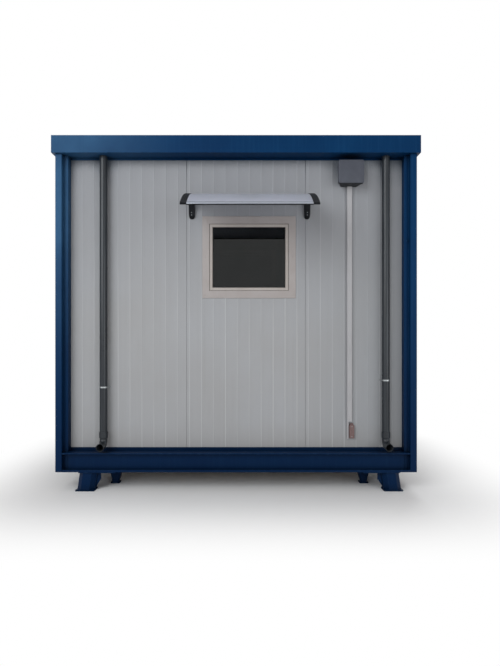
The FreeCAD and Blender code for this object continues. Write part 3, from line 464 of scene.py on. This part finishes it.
# Roof: a folded steel edge with a gutter inside it, a foam panel for the ceiling, steel rafters
# and a trapezoidal galvanised sheet, screwed down through the valleys over each rafter.
dress(["roof_edge_" + side for side in ("front", "back", "left", "right")], enamel)
dress(["ceiling_panel"], coating)
dress(["roof_sheet"], galvanised)

screw_washer = 8 * mm
screw_head = 4.6 * mm
roof_screw = turned([
    (screw_washer, 0.0), (screw_washer, 1.2 * mm), (screw_washer * 0.7, 2.0 * mm),
    (screw_head, 2.0 * mm), (screw_head, 5.5 * mm), (screw_head * 0.85, 6.5 * mm),
], 6)
sheet_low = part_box("roof_sheet")[0]
rafter_low, rafter_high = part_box("roof_rafters")
roof_steel = 1.5 * mm
half_rafter = 20 * mm
end_screw = 60 * mm
screw_columns = np.linspace(rafter_low.x + half_rafter, rafter_high.x - half_rafter, 5)
screw_rows = np.linspace(rafter_low.y + end_screw, rafter_high.y - end_screw, 6)
across, along = np.meshgrid(screw_columns, screw_rows)
roof_rise = 24 * mm
roof_run = 2.008
valley_low = sheet_low.z + roof_steel
level = valley_low + (along - sheet_low.y) * roof_rise / roof_run
places = np.stack([across, along, level], -1).reshape(-1, 3)
points, faces = repeated(roof_screw, places, to_top)
# Zinc plating: a bright cool grey metal that mottles white where the passivation has worn
zinc, tree, shader, place = new_finish("zinc_plated_steel", 0.38, 0.5, 0.9)
mottle = noise(tree, place, 1000 / 18, 4.0)
two_tones(tree, shader, mottle.outputs["Fac"], "#7f8386", "#aeb1b2")
vary_roughness(tree, shader, mottle.outputs["Fac"], 0.28, 0.50)
cabin_piece("roof_screws", points, faces, zinc)

# Window: a flanged PVC-U sleeve through the wall, a welded sash and a sealed double pane.
# The flange covers the cut edge of the board, and black rubber gaskets hold the pane.
# PVC-U: a warm pale grey, extruded, with a low even sheen and a light film of dust.
window_finishes = {}
for part, pale, dusty in (("frame", "#a39d9c", "#928b87"), ("sash", "#b0a9a4", "#9a928c")):
    pvc, tree, shader, place = new_finish("pvc_u_window_" + part, 0.42, 0.3)
    dust = noise(tree, place, 1000 / 120, 5.0)
    two_tones(tree, shader, dust.outputs["Fac"], dusty, pale)
    grained_and_rounded(tree, shader, place, 1000 / 6, 0.05)
    window_finishes[part] = pvc
dress(["window_frame"], window_finishes["frame"])
dress(["window_sash"], window_finishes["sash"])

# Float glass: clear, slightly green at depth, with a mirror-smooth face over a dark room. Its
# refraction is set a little low, so that the pane stays dark in a bright studio.
glass, tree, shader, place = new_finish("float_glass", 0.0, 0.5)
shader.inputs["IOR"].default_value = 1.38
shader.inputs["Transmission Weight"].default_value = 1.0
film = noise(tree, place, 1000 / 160, 4.0)
two_tones(tree, shader, film.outputs["Fac"], "#5f6c6c", "#758281")
haze = add(tree, "MapRange", inputs={
    "Value": film.outputs["Fac"], "From Min": 0.4, "From Max": 0.8, "To Min": 0.005, "To Max": 0.05,
})
tree.links.new(haze.outputs[0], shader.inputs["Roughness"])
dress(["window_glass"], glass)

# EPDM rubber: matt black and faintly dusty
rubber, tree, shader, place = new_finish("epdm_rubber", 0.75, 0.2)
dust = noise(tree, place, 1000 / 40, 4.0)
two_tones(tree, shader, dust.outputs["Fac"], "#101112", "#2c2c2c")


def rectangular_ring(half_width, half_height, section, centre_x, centre_z):
    """A section carried round a rectangle and mitred: each point moves out from the corner.

    The section is a closed list of (outward, y) points, where outward grows the rectangle.
    """
    outward, y = np.array(section).T
    corner = np.array([(-1, -1), (1, -1), (1, 1), (-1, 1)])
    x = centre_x + corner[:, :1] * (half_width + outward)
    z = centre_z + corner[:, 1:] * (half_height + outward)
    points = np.stack([x, np.broadcast_to(y, x.shape), z], -1)
    return points, grid_faces(4, len(section), True, True)


pane_low, pane_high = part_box("window_glass")
pane_x = (pane_low.x + pane_high.x) / 2
pane_z = (pane_low.z + pane_high.z) / 2
covered = 8 * mm
clear_half_width = (pane_high.x - pane_low.x) / 2 - covered
clear_half_height = (pane_high.z - pane_low.z) / 2 - covered
gasket_section = [
    (1 * mm, pane_low.y), (-2.5 * mm, pane_low.y), (-2.5 * mm, pane_low.y - 0.8 * mm),
    (0.0, pane_low.y - 3 * mm), (1 * mm, pane_low.y - 3 * mm),
]
points, faces = rectangular_ring(clear_half_width, clear_half_height, gasket_section, pane_x, pane_z)
cabin_piece("window_gasket", points, faces, rubber)
seal_section = [
    (-0.4 * mm, sash_low.y + 3 * mm), (3.2 * mm, sash_low.y + 3 * mm),
    (3.2 * mm, sash_low.y + 9 * mm), (-0.4 * mm, sash_low.y + 9 * mm),
]
points, faces = rectangular_ring(
    (sash_high.x - sash_low.x) / 2, (sash_high.z - sash_low.z) / 2, seal_section, pane_x, pane_z
)
cabin_piece("window_seal", points, faces, rubber)

pan_head = turned([
    (3.9 * mm, 0.0), (3.9 * mm, 0.9 * mm), (3.0 * mm, 2.0 * mm), (1.5 * mm, 2.5 * mm), (1.2 * mm, 1.4 * mm),
], 10)
flange_low, flange_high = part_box("window_frame")
screw_inset = 24 * mm
screw_x = np.linspace(flange_low.x + screw_inset, flange_high.x - screw_inset, 3)
screw_z = np.linspace(flange_low.z + screw_inset, flange_high.z - screw_inset, 3)
across, up = np.meshgrid(screw_x, screw_z)
near_middle = 100 * mm
at_rim = (np.abs(across - pane_x) > near_middle) | (np.abs(up - pane_z) > near_middle)
places = np.stack([across, np.full(across.shape, flange_low.y), up], -1)[at_rim]
points, faces = repeated(pan_head, places, to_front)
cabin_piece("window_flange_screws", points, faces, window_finishes["frame"])

# Door in the back wall: a coated steel leaf in a PVC-U casing, hung on three stainless hinges.
# The leaf is skinned like the boards, and its lever stands on a long plate.
dress(["door_frame"], window_finishes["frame"])
ribbed_board("door_board", ["door_leaf"], "back")

# Stainless steel: a warm grey metal, brushed across so that its gloss is drawn out in one direction
stainless, tree, shader, place = new_finish("brushed_stainless_steel", 0.32, 0.5, 1.0)
grainy = add(tree, "Mapping", inputs={"Vector": place, "Scale": (1000 / 60, 1000 / 2, 1000 / 2)})
brushed = noise(tree, grainy.outputs[0], 1.0, 3.0)
two_tones(tree, shader, brushed.outputs["Fac"], "#8f8e8b", "#bdbbb7")
vary_roughness(tree, shader, brushed.outputs["Fac"], 0.22, 0.42)
dress(["door_fittings"], stainless)

leaf_low, leaf_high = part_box("door_leaf")
lever_inset = 70 * mm
leaf_gap = 6 * mm
lever_height = 1.050
lever_x = leaf_low.x + lever_inset
lever_z = leaf_low.z - leaf_gap + lever_height
plate_y = leaf_high.y + 5 * mm
cylinder_drop = 72 * mm
lock = turned([
    (8.5 * mm, 0.0), (8.5 * mm, 2.6 * mm), (7.6 * mm, 3.2 * mm), (1.4 * mm, 3.2 * mm), (1.2 * mm, 1.0 * mm),
], 24)
points, faces = repeated(lock, [(lever_x, plate_y, lever_z - cylinder_drop)], to_back)
cabin_piece("door_lock_cylinder", points, faces, stainless)
plate_screws = [(lever_x, plate_y, lever_z + 66 * mm), (lever_x, plate_y, lever_z - 132 * mm)]
points, faces = repeated(pan_head, plate_screws, to_back)
cabin_piece("door_plate_screws", points, faces, stainless)

# Canopy: two moulded arms on the wall carry a bowed polycarbonate sheet over the window.
# The sheet slides into aluminium edge bars, and the arms are screwed to the board.
# ASA plastic: near black, moulded with a fine eroded grain and a soft dull sheen.
moulded, tree, shader, place = new_finish("asa_moulding_black", 0.5, 0.12)
bleach = noise(tree, place, 1000 / 60, 5.0)
two_tones(tree, shader, bleach.outputs["Fac"], "#08090c", "#17191d")
grained_and_rounded(tree, shader, place, 1000 / 4, 0.12)

# Polycarbonate: a frosted sheet that passes a soft bluish light and shows its bow as a slow sheen
frosted, tree, shader, place = new_finish("frosted_polycarbonate", 0.35, 0.35)
shader.inputs["IOR"].default_value = 1.58
shader.inputs["Transmission Weight"].default_value = 0.45
settled = noise(tree, place, 1000 / 220, 6.0)
two_tones(tree, shader, settled.outputs["Fac"], "#c6cbd6", "#d8dbea")
vary_roughness(tree, shader, settled.outputs["Fac"], 0.28, 0.50)

wall_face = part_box("front_panel_left")[0].y
arm_low, arm_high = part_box("canopy_arm_left")
far_arm_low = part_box("canopy_arm_right")[0]
canopy_radius = 1000 * mm
sheet_steel = 4 * mm
arc_centre = arm_high.z - canopy_radius
canopy_reach = wall_face - arm_low.y


def canopy_arc(radius, reach):
    """Points on the canopy's arc: out by the reach, and up by the root of radius² less reach²."""
    y = wall_face - reach
    return y, arc_centre + np.sqrt(radius ** 2 - reach ** 2)


def bowed_strip(first, last, outer, inner, left, right, steps):
    """A strip between two radii of the canopy's arc, from one distance out to another."""
    reach = np.linspace(first, last, steps)
    outer_y, outer_z = canopy_arc(outer, reach)
    inner_y, inner_z = canopy_arc(inner, reach[::-1])
    y = np.concatenate([outer_y, inner_y])
    z = np.concatenate([outer_z, inner_z])
    x = np.array([left, right])
    points = np.stack([np.repeat(x[None], len(y), 0), np.repeat(y[:, None], 2, 1),
                       np.repeat(z[:, None], 2, 1)], -1)
    faces = grid_faces(len(y), 2, loop_rows=True)
    for end in (0, 1):
        for i in range(steps - 1):
            other = 2 * steps - 1 - i
            faces.append([2 * i + end, 2 * (i + 1) + end, 2 * (other - 1) + end, 2 * other + end])
    return points, faces


bar_depth = 26 * mm
sheet_outer = canopy_radius - sheet_steel
points, faces = bowed_strip(
    bar_depth, canopy_reach - bar_depth, sheet_outer, sheet_outer - sheet_steel,
    arm_high.x, far_arm_low.x, 49,
)
cabin_piece("canopy_pane", points, faces, frosted, ["canopy_sheet"])

# Anodised aluminium: a fine matt metal with faint draw lines along the bar
anodised, tree, shader, place = new_finish("anodised_aluminium", 0.38, 0.5, 0.9)
drawn = add(tree, "Mapping", inputs={"Vector": place, "Scale": (1000 / 300, 1000 / 3, 1000 / 3)})
lines = noise(tree, drawn.outputs[0], 1.0, 2.0)
two_tones(tree, shader, lines.outputs["Fac"], "#989da6", "#b0b5c0")
rounded = add(tree, "Bevel", {"samples": 4}, {"Radius": 2 * mm})
tree.links.new(rounded.outputs[0], shader.inputs["Normal"])


def drawn_bar(section):
    """A closed (y, z) section drawn out from one canopy arm to the other, with both ends closed."""
    count = len(section)
    points = np.concatenate([np.insert(section, 0, x, axis=1) for x in (arm_high.x, far_arm_low.x)])
    faces = grid_faces(2, count, loop_columns=True)
    faces += [list(range(count)), list(range(count, 2 * count))]
    return points, faces


nose_height = 12 * mm
shade_strip_height = 8 * mm
bar_points = []
bar_faces = []
for first, last in ((canopy_reach - bar_depth, canopy_reach), (0.0, bar_depth)):
    reach = np.linspace(first, last, 9)
    over_y, over_z = canopy_arc(sheet_outer + 1 * mm, reach)
    under_y, under_z = canopy_arc(sheet_outer - sheet_steel - 2 * mm, reach[::-1])
    points, faces = drawn_bar(np.stack([np.append(over_y, under_y), np.append(over_z, under_z)], -1))
    offset = sum(len(block) for block in bar_points)
    bar_points.append(points)
    bar_faces += [[i + offset for i in face] for face in faces]
cabin_piece(
    "canopy_bars", np.concatenate(bar_points), bar_faces, anodised, ["canopy_edge_bars"]
)
# A dark rubber strip along the front bar's lower edge stands in for the shade under the bar: painted shade
nose_y = arm_low.y
nose_z = canopy_arc(sheet_outer + 1 * mm, canopy_reach)[1]
section = np.array([
    (nose_y, nose_z - nose_height + shade_strip_height), (nose_y, nose_z - nose_height + 1 * mm),
    (nose_y + 1 * mm, nose_z - nose_height), (nose_y + 7 * mm, nose_z - nose_height),
    (nose_y + 7 * mm, nose_z - nose_height + shade_strip_height),
])
points, faces = drawn_bar(section)
cabin_piece("canopy_shade_strip", points, faces, rubber)

# Each arm is one moulding: ribs run along its back, its tip thins, and its wall foot ends round
arm_width = arm_high.x - arm_low.x
arm_depth_at_wall = 34 * mm
arm_depth_at_tip = 15 * mm
foot_depth = 30 * mm
brace_radius = 75 * mm
arm_round = 3 * mm
foot_end = arm_high.z - 177 * mm
back_reach = np.linspace(0, canopy_reach, 37)
belly_reach = np.linspace(canopy_reach - arm_depth_at_tip / 2, foot_depth + brace_radius, 19)
belly_share = np.linspace(0, 1, 19)
belly_radius = canopy_radius - arm_depth_at_tip + (arm_depth_at_tip - arm_depth_at_wall) * belly_share
back_y, back_z = canopy_arc(canopy_radius, back_reach)
belly_y, belly_z = canopy_arc(belly_radius, belly_reach)
quarter = np.linspace(0, math.pi / 2, 13)
brace_y = belly_y[-1] + brace_radius * np.sin(quarter[1:])
brace_z = belly_z[-1] - brace_radius * (1 - np.cos(quarter[1:]))
toe_y = wall_face - foot_depth * np.cos(quarter)
toe_z = foot_end + foot_depth * (1 - np.sin(quarter))
profile_y = np.concatenate([back_y, belly_y, brace_y, toe_y])
profile_z = np.concatenate([back_z, belly_z, brace_z, toe_z])
order = np.arange(len(profile_y))
at_back = order < len(back_y)
at_toe = order >= len(profile_y) - len(toe_y)
inward = np.concatenate([0 * back_y, 0 * belly_y, np.sin(quarter[1:]), np.cos(quarter)])
rib_middles = np.array([-0.30, 0.0, 0.30]) * arm_width
rib_half = 4.5 * mm
groove_depth = 2.5 * mm
half = arm_width / 2
across = np.linspace(arm_round - half, half - arm_round, 41)
across = np.concatenate([[-half], across, [half]])
# Between the ribs the back and the foot's front sink by the groove's depth times the sine of the
# way across. The foot's end rises by half its width less the root of that squared less the way
# across squared, which makes it round.
to_rib = np.clip(np.abs(across[:, None] - rib_middles).min(1) / rib_half - 1, 0, 1)
sink = groove_depth * np.sin(to_rib * math.pi / 2)
sink[[0, -1]] = arm_round
lift = half - np.sqrt(np.maximum(half ** 2 - across ** 2, 0))
for side, low in (("left", arm_low), ("right", far_arm_low)):
    x = low.x + half + across[:, None] + np.zeros(len(profile_y))
    y = profile_y + inward * sink[:, None]
    z = profile_z - at_back * sink[:, None] + at_toe * lift[:, None]
    points = np.stack([x, y, z], -1)
    faces = grid_faces(len(across), len(profile_y), loop_columns=True)
    last = (len(across) - 1) * len(profile_y)
    faces += [list(range(len(profile_y))), list(range(last, last + len(profile_y)))]
    cabin_piece(
        "canopy_arm_moulding_" + side, points, faces, moulded, ["canopy_arm_" + side]
    )
foot_face = wall_face - foot_depth
arm_screws = [
    (low.x + arm_width / 2, foot_face, arm_high.z - drop)
    for low in (arm_low, far_arm_low) for drop in (126 * mm, 147 * mm)
]
points, faces = repeated(pan_head, arm_screws, to_front)
cabin_piece("canopy_arm_screws", points, faces, zinc)

# Rainwater pipes: extruded PVC-U pipes from the gutter, with a moulded elbow that faces forward.
# Each is held to the wall by one galvanised saddle strap with a screw in each ear.
# PVC-U pipe: an even dark grey with a low gloss, and long faint draw lines that hold dust.
pipe_pvc, tree, shader, place = new_finish("pvc_u_pipe_grey", 0.3, 0.30)
rain = add(tree, "Mapping", inputs={"Vector": place, "Scale": (1000 / 9, 1000 / 9, 1000 / 700)})
streak = noise(tree, rain.outputs[0], 1.0, 4.0)
cloud = noise(tree, place, 1000 / 260, 4.0)
colour = add(tree, "Mix", blend, {0: cloud.outputs["Fac"], 6: linear("#1b1e22"), 7: linear("#272b30")})
run = add(tree, "MapRange", inputs={
    "Value": streak.outputs["Fac"], "From Min": 0.45, "From Max": 0.80, "To Max": 0.55,
})
colour = add(tree, "Mix", blend, {0: run.outputs[0], 6: colour.outputs[2], 7: linear("#3f464c")})
tree.links.new(colour.outputs[2], shader.inputs["Base Color"])
vary_roughness(tree, shader, cloud.outputs["Fac"], 0.22, 0.36)

pipe_radius = 31.5 * mm
pipe_bore = 28.5 * mm
socket_radius = 36 * mm
elbow_bend = 50 * mm
pipe_sides = 48


def swept_tube(x, stations):
    """A tube with a wall, carried along a path in an upright plane and closed at its mouths.

    Each station gives the path's y and z, its lean from straight down to level forward, and a
    radius. The outer wall runs down the path, and the bore runs back up it to where it began.
    """
    y, z, lean, radius = np.array(stations).T
    turn = np.arange(pipe_sides) / pipe_sides * 2 * math.pi
    across = np.cos(turn) * radius[:, None]
    beside = np.sin(turn) * radius[:, None]
    points = np.stack([
        x + across,
        y[:, None] + beside * np.cos(lean)[:, None],
        z[:, None] - beside * np.sin(lean)[:, None],
    ], -1)
    return points, grid_faces(len(stations), pipe_sides, True, True)


for side in ("left", "right"):
    low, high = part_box("downpipe_" + side)
    elbow_low, elbow_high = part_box("pipe_elbow_" + side)
    pipe_x = (low.x + high.x) / 2
    pipe_y = (low.y + high.y) / 2
    soft = 1.0 * mm
    stations = [
        (pipe_y, high.z, 0, pipe_bore + soft), (pipe_y, high.z, 0, pipe_radius - soft),
        (pipe_y, high.z - soft, 0, pipe_radius), (pipe_y, low.z + soft, 0, pipe_radius),
        (pipe_y, low.z, 0, pipe_radius - soft), (pipe_y, low.z, 0, pipe_bore + soft),
        (pipe_y, low.z + soft, 0, pipe_bore), (pipe_y, high.z - soft, 0, pipe_bore),
    ]
    points, faces = swept_tube(pipe_x, stations)
    cabin_piece("rain_pipe_" + side, points, faces, pipe_pvc, ["downpipe_" + side])
    top = elbow_high.z
    step = low.z
    mouth_z = elbow_low.z + pipe_radius
    mouth_y = elbow_low.y
    bend_z = mouth_z + elbow_bend
    collar = socket_radius - pipe_radius
    lean = np.linspace(0, math.pi / 2, 17)
    bend_y = pipe_y - elbow_bend * (1 - np.cos(lean))
    bend_height = bend_z - elbow_bend * np.sin(lean)
    level = math.pi / 2
    outer = [
        (pipe_y, top, 0, socket_radius - soft), (pipe_y, top - soft, 0, socket_radius),
        (pipe_y, step, 0, socket_radius), (pipe_y, step - collar, 0, pipe_radius),
    ]
    outer += [(a, b, c, pipe_radius) for a, b, c in zip(bend_y, bend_height, lean)]
    outer += [
        (mouth_y + 14 * mm, mouth_z, level, pipe_radius),
        (mouth_y + soft, mouth_z, level, pipe_radius), (mouth_y, mouth_z, level, pipe_radius - soft),
    ]
    bore = [
        (mouth_y, mouth_z, level, pipe_bore + soft / 2), (mouth_y + soft, mouth_z, level, pipe_bore),
    ]
    bore += [(a, b, c, pipe_bore) for a, b, c in zip(bend_y[::-1], bend_height[::-1], lean[::-1])]
    bore += [
        (pipe_y, step - 0.3 * mm, 0, pipe_bore), (pipe_y, step - 0.3 * mm, 0, pipe_radius + 0.3 * mm),
        (pipe_y, top, 0, pipe_radius + 0.3 * mm),
    ]
    points, faces = swept_tube(pipe_x, outer + bore)
    cabin_piece("rain_elbow_" + side, points, faces, pipe_pvc, ["pipe_elbow_" + side])

strap_height = 12 * mm
strap_steel = 2 * mm
ear_length = 15 * mm
clamp_low, clamp_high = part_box("pipe_clamps")
clamp_half = 6 * mm
strap_points = []
strap_faces = []
strap_screws = []
for side, level in (("left", clamp_low.z + clamp_half), ("right", clamp_high.z - clamp_half)):
    low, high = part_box("downpipe_" + side)
    pipe_x = (low.x + high.x) / 2
    pipe_y = (low.y + high.y) / 2
    ring = pipe_radius + strap_steel / 2 + 0.2 * mm
    turn = np.linspace(0, math.pi, 33)
    flat_y = wall_face - strap_steel / 2 - bead_rise
    half_ring = np.stack([pipe_x - ring * np.cos(turn), pipe_y - ring * np.sin(turn)], -1)
    start = np.array([(pipe_x - ring - ear_length, flat_y), (pipe_x - ring, flat_y)])
    end = np.array([(pipe_x + ring, flat_y), (pipe_x + ring + ear_length, flat_y)])
    path = np.concatenate([start, half_ring, end])
    heading = np.gradient(path, axis=0)
    heading /= np.linalg.norm(heading, axis=1, keepdims=True)
    beside = np.stack([heading[:, 1], -heading[:, 0]], -1) * strap_steel / 2
    corners = []
    for across_side, up in ((1, -1), (1, 1), (-1, 1), (-1, -1)):
        flat = path + across_side * beside
        rise = np.full((len(path), 1), level + up * strap_height / 2)
        corners.append(np.concatenate([flat, rise], 1))
    points = np.stack(corners, 1)
    faces = grid_faces(len(path), 4, loop_columns=True)
    faces += [[3, 2, 1, 0], [4 * len(path) - 4 + i for i in range(4)]]
    offset = sum(len(block) for block in strap_points)
    strap_points.append(points.reshape(-1, 3))
    strap_faces += [[i + offset for i in face] for face in faces]
    for ear in (-1, 1):
        ear_x = pipe_x + ear * (ring + ear_length * 0.6)
        strap_screws.append((ear_x, flat_y - strap_steel / 2, level))
cabin_piece("pipe_straps", np.concatenate(strap_points), strap_faces, zinc, ["pipe_clamps"])
points, faces = repeated(pan_head, strap_screws, to_front)
cabin_piece("pipe_strap_screws", points, faces, zinc)

# Electrical fittings: a moulded junction box under the roof edge, white trunking down the wall
# and a brown terminal at its foot. The box lid is held by four captive screws.
# ABS: a cool mid grey with a fine moulded grain, dusty in soft patches.
abs_grey, tree, shader, place = new_finish("abs_box_grey", 0.5, 0.25)
dust = noise(tree, place, 1000 / 70, 5.0)
colour = add(tree, "Mix", blend, {0: dust.outputs["Fac"], 6: linear("#3d4049"), 7: linear("#4b4e57")})
# Faces that look down are drawn darker as painted shade under the box
normal = add(tree, "NewGeometry").outputs["Normal"]
down = add(tree, "SeparateXYZ", inputs={"Vector": normal}).outputs["Z"]
painted_underside_shade = add(tree, "MapRange", inputs={"Value": down, "From Min": -0.3, "From Max": -0.9, "To Max": 0.8})
colour = add(tree, "Mix", blend, {0: painted_underside_shade.outputs[0], 6: colour.outputs[2], 7: linear("#1c1d20")})
tree.links.new(colour.outputs[2], shader.inputs["Base Color"])
grained_and_rounded(tree, shader, place, 1000 / 4, 0.12)


def rounded_shell(low, high, stations):
    """A closed body made of rounded rectangles, one behind the other.

    Each station gives its y, its inset at both sides, at the foot and at the top, and the radius of
    its corners. A corner's points lie on a quarter circle about a centre that far from both edges.
    """
    quarter = np.linspace(0, math.pi / 2, 7)
    rings = []
    for y, side_inset, foot_inset, top_inset, radius in stations:
        left, right = low.x + side_inset, high.x - side_inset
        foot, top = low.z + foot_inset, high.z - top_inset
        corners = [(right, top, 0), (left, top, 1), (left, foot, 2), (right, foot, 3)]
        for x, z, turn in corners:
            inward_x = radius if x == left else -radius
            inward_z = radius if z == foot else -radius
            swing = quarter + turn * math.pi / 2
            along_x = x + inward_x + radius * np.cos(swing)
            along_z = z + inward_z + radius * np.sin(swing)
            rings.append(np.stack([along_x, np.full(len(quarter), y), along_z], -1))
    around = 4 * len(quarter)
    faces = grid_faces(len(stations), around, loop_columns=True)
    last = (len(stations) - 1) * around
    faces += [list(range(around)), list(range(last, last + around))]
    return np.concatenate(rings), faces


box_low, box_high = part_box("junction_box")
lid_depth = 34 * mm
corner_round = 14 * mm
lid_edge = 4 * mm
soft_edge = lid_edge * 0.3
lid_back = box_low.y + lid_depth
points, faces = rounded_shell(box_low, box_high, [
    (box_low.y, lid_edge, lid_edge, lid_edge, corner_round - lid_edge),
    (box_low.y + soft_edge, soft_edge, soft_edge, soft_edge, corner_round - soft_edge),
    (box_low.y + lid_edge, 0, 0, 0, corner_round),
    (lid_back, 0, 0, 0, corner_round),
])
cabin_piece("junction_box_lid", points, faces, abs_grey, ["junction_box"])
points, faces = rounded_shell(box_low, box_high, [
    (lid_back, 5 * mm, 2 * mm, 5 * mm, corner_round),
    (box_high.y, 30 * mm, 2 * mm, 8 * mm, corner_round),
])
cabin_piece("junction_box_body", points, faces, abs_grey)
lid_screw = turned([
    (6.5 * mm, -1 * mm), (6.5 * mm, 0.6 * mm), (5.6 * mm, 1.0 * mm), (2.4 * mm, 1.0 * mm),
    (2.0 * mm, 0.1 * mm),
], 16)
lid_inset = 15 * mm
lid_screws = [
    (x, box_low.y, z)
    for x in (box_low.x + lid_inset, box_high.x - lid_inset)
    for z in (box_low.z + lid_inset, box_high.z - lid_inset)
]
points, faces = repeated(lid_screw, lid_screws, to_front)
cabin_piece("junction_box_screws", points, faces, abs_grey)

# PVC-U trunking: a smooth off-white snap cover, greyed by dust in long soft patches
trunking_pvc, tree, shader, place = new_finish("pvc_u_trunking_white", 0.4, 0.3)
dust = noise(tree, place, 1000 / 150, 5.0)
two_tones(tree, shader, dust.outputs["Fac"], "#969597", "#a5a4a7")
rounded = add(tree, "Bevel", {"samples": 4}, {"Radius": 2 * mm})
tree.links.new(rounded.outputs[0], shader.inputs["Normal"])
dress(["cable_trunking"], trunking_pvc)

# Phenolic resin: a reddish brown moulding, slightly mottled, with a low waxy sheen
phenolic, tree, shader, place = new_finish("phenolic_resin_brown", 0.45, 0.25)
mottle = noise(tree, place, 1000 / 22, 5.0)
two_tones(tree, shader, mottle.outputs["Fac"], "#5a4544", "#7c6664")
rounded = add(tree, "Bevel", {"samples": 4}, {"Radius": 2 * mm})
tree.links.new(rounded.outputs[0], shader.inputs["Normal"])
dress(["terminal_block"], phenolic)
terminal_low, terminal_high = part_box("terminal_block")
terminal_x = (terminal_low.x + terminal_high.x) / 2
terminal_screws = [
    (terminal_x, terminal_low.y, terminal_low.z + 14 * mm),
    (terminal_x, terminal_low.y, terminal_high.z - 12 * mm - 14 * mm),
]
points, faces = repeated(pan_head, terminal_screws, to_front)
cabin_piece("terminal_screws", points, faces, zinc)

# Studio: a pale matt floor that fades to white, one large soft lamp from the upper left in front,
# a weaker one from the right and one from behind. The world is white where it is seen, and dim as
# a light.
floor_reach = 60.0
floor_mesh = bpy.data.meshes.new("studio_floor")
floor_mesh.from_pydata(
    [(-floor_reach, -floor_reach, 0), (floor_reach, -floor_reach, 0),
     (floor_reach, floor_reach, 0), (-floor_reach, floor_reach, 0)], [], [(0, 1, 2, 3)]
)
floor = bpy.data.objects.new("studio_floor", floor_mesh)
bpy.context.scene.collection.objects.link(floor)
paper, tree, shader, place = new_finish("studio_paper", 0.9, 0.1)
shader.inputs["Base Color"].default_value = linear("#fafafa")
beside = add(tree, "VectorMath", {"operation": "ABSOLUTE"}, {0: place})
beside = add(tree, "VectorMath", {"operation": "SUBTRACT"}, {0: beside.outputs[0], 1: (1.3, 1.0, 0.0)})
beside = add(tree, "VectorMath", {"operation": "MAXIMUM"}, {0: beside.outputs[0], 1: (0.0, 0.0, 0.0)})
distance = add(tree, "VectorMath", {"operation": "LENGTH"}, {0: beside.outputs[0]})
far = add(tree, "MapRange", {"interpolation_type": "SMOOTHSTEP"}, {
    "Value": distance.outputs["Value"], "From Min": 0.1, "From Max": 1.3,
})


def seen_by_eye(tree):
    """One for rays that come from the camera, a mirror or a pane of glass, and nought for light."""
    largest = {"operation": "MAXIMUM"}
    rays = add(tree, "LightPath").outputs
    seen = add(tree, "Math", largest, {0: rays["Is Camera Ray"], 1: rays["Is Glossy Ray"]})
    return add(tree, "Math", largest, {0: seen.outputs[0], 1: rays["Is Transmission Ray"]}).outputs[0]


fade = add(tree, "Math", times, {0: far.outputs[0], 1: seen_by_eye(tree)})
glow = add(tree, "Emission", inputs={"Color": (1.0, 1.0, 1.0, 1.0), "Strength": 1.0})
paper_mix = add(tree, "MixShader", inputs={
    0: fade.outputs[0], 1: shader.outputs[0], 2: glow.outputs[0],
})
tree.links.new(paper_mix.outputs[0], tree.nodes["Material Output"].inputs["Surface"])
floor_mesh.materials.append(paper)

world = bpy.data.worlds.new("studio")
bpy.context.scene.world = world
world.use_nodes = True
tree = world.node_tree
tree.nodes.clear()
ambient = add(tree, "Background", inputs={"Color": (1.0, 0.95, 0.93, 1.0), "Strength": 0.40})
white = add(tree, "Background", inputs={"Color": (1.0, 1.0, 1.0, 1.0), "Strength": 1.0})
mixed = add(tree, "MixShader", inputs={0: seen_by_eye(tree), 1: ambient.outputs[0], 2: white.outputs[0]})
add(tree, "OutputWorld", inputs={"Surface": mixed.outputs[0]})


def soft_lamp(name, place, target, width, height, watts):
    """A rectangular lamp of a cool white that faces a target."""
    lamp = bpy.data.lights.new(name, "AREA")
    lamp.color = (0.94, 0.98, 1.0)
    lamp.shape = "RECTANGLE"
    lamp.size = width
    lamp.size_y = height
    lamp.energy = watts
    holder = bpy.data.objects.new(name, lamp)
    way = np.array(target) - np.array(place)
    holder.location = place
    turn = math.atan2(way[1], way[0]) - math.pi / 2
    tilt = math.atan2(math.hypot(way[0], way[1]), -way[2])
    holder.rotation_euler = (tilt, 0, turn)
    bpy.context.scene.collection.objects.link(holder)


aim = (0.0, 0.0, 1.4)
soft_lamp("key_lamp", (-4.5, -7.5, 4.4), aim, 6.0, 5.0, 430)
soft_lamp("fill_lamp", (5.0, -7.0, 1.8), aim, 5.0, 3.0, 130)
soft_lamp("back_lamp", (3.0, 8.0, 7.0), aim, 6.0, 5.0, 380)

# Camera: at chest height in front of the cabin, level, with a small shift as in the photograph.
picture_height = 666
focal_pixels = 501
vanishing_x = 246.5
vanishing_y = 341.0
camera_data = bpy.data.cameras.new("camera")
camera_data.sensor_width = 36
camera_data.lens = focal_pixels / picture_height * camera_data.sensor_width
camera_data.shift_x = (250 - vanishing_x) / picture_height
camera_data.shift_y = (vanishing_y - picture_height / 2) / picture_height
camera = bpy.data.objects.new("camera", camera_data)
camera.location = (0.085, -5.03, 1.228)
camera.rotation_euler = (math.pi / 2, 0, 0)
bpy.context.scene.collection.objects.link(camera)
bpy.context.scene.camera = camera
bpy.context.scene.view_settings.view_transform = "Standard"
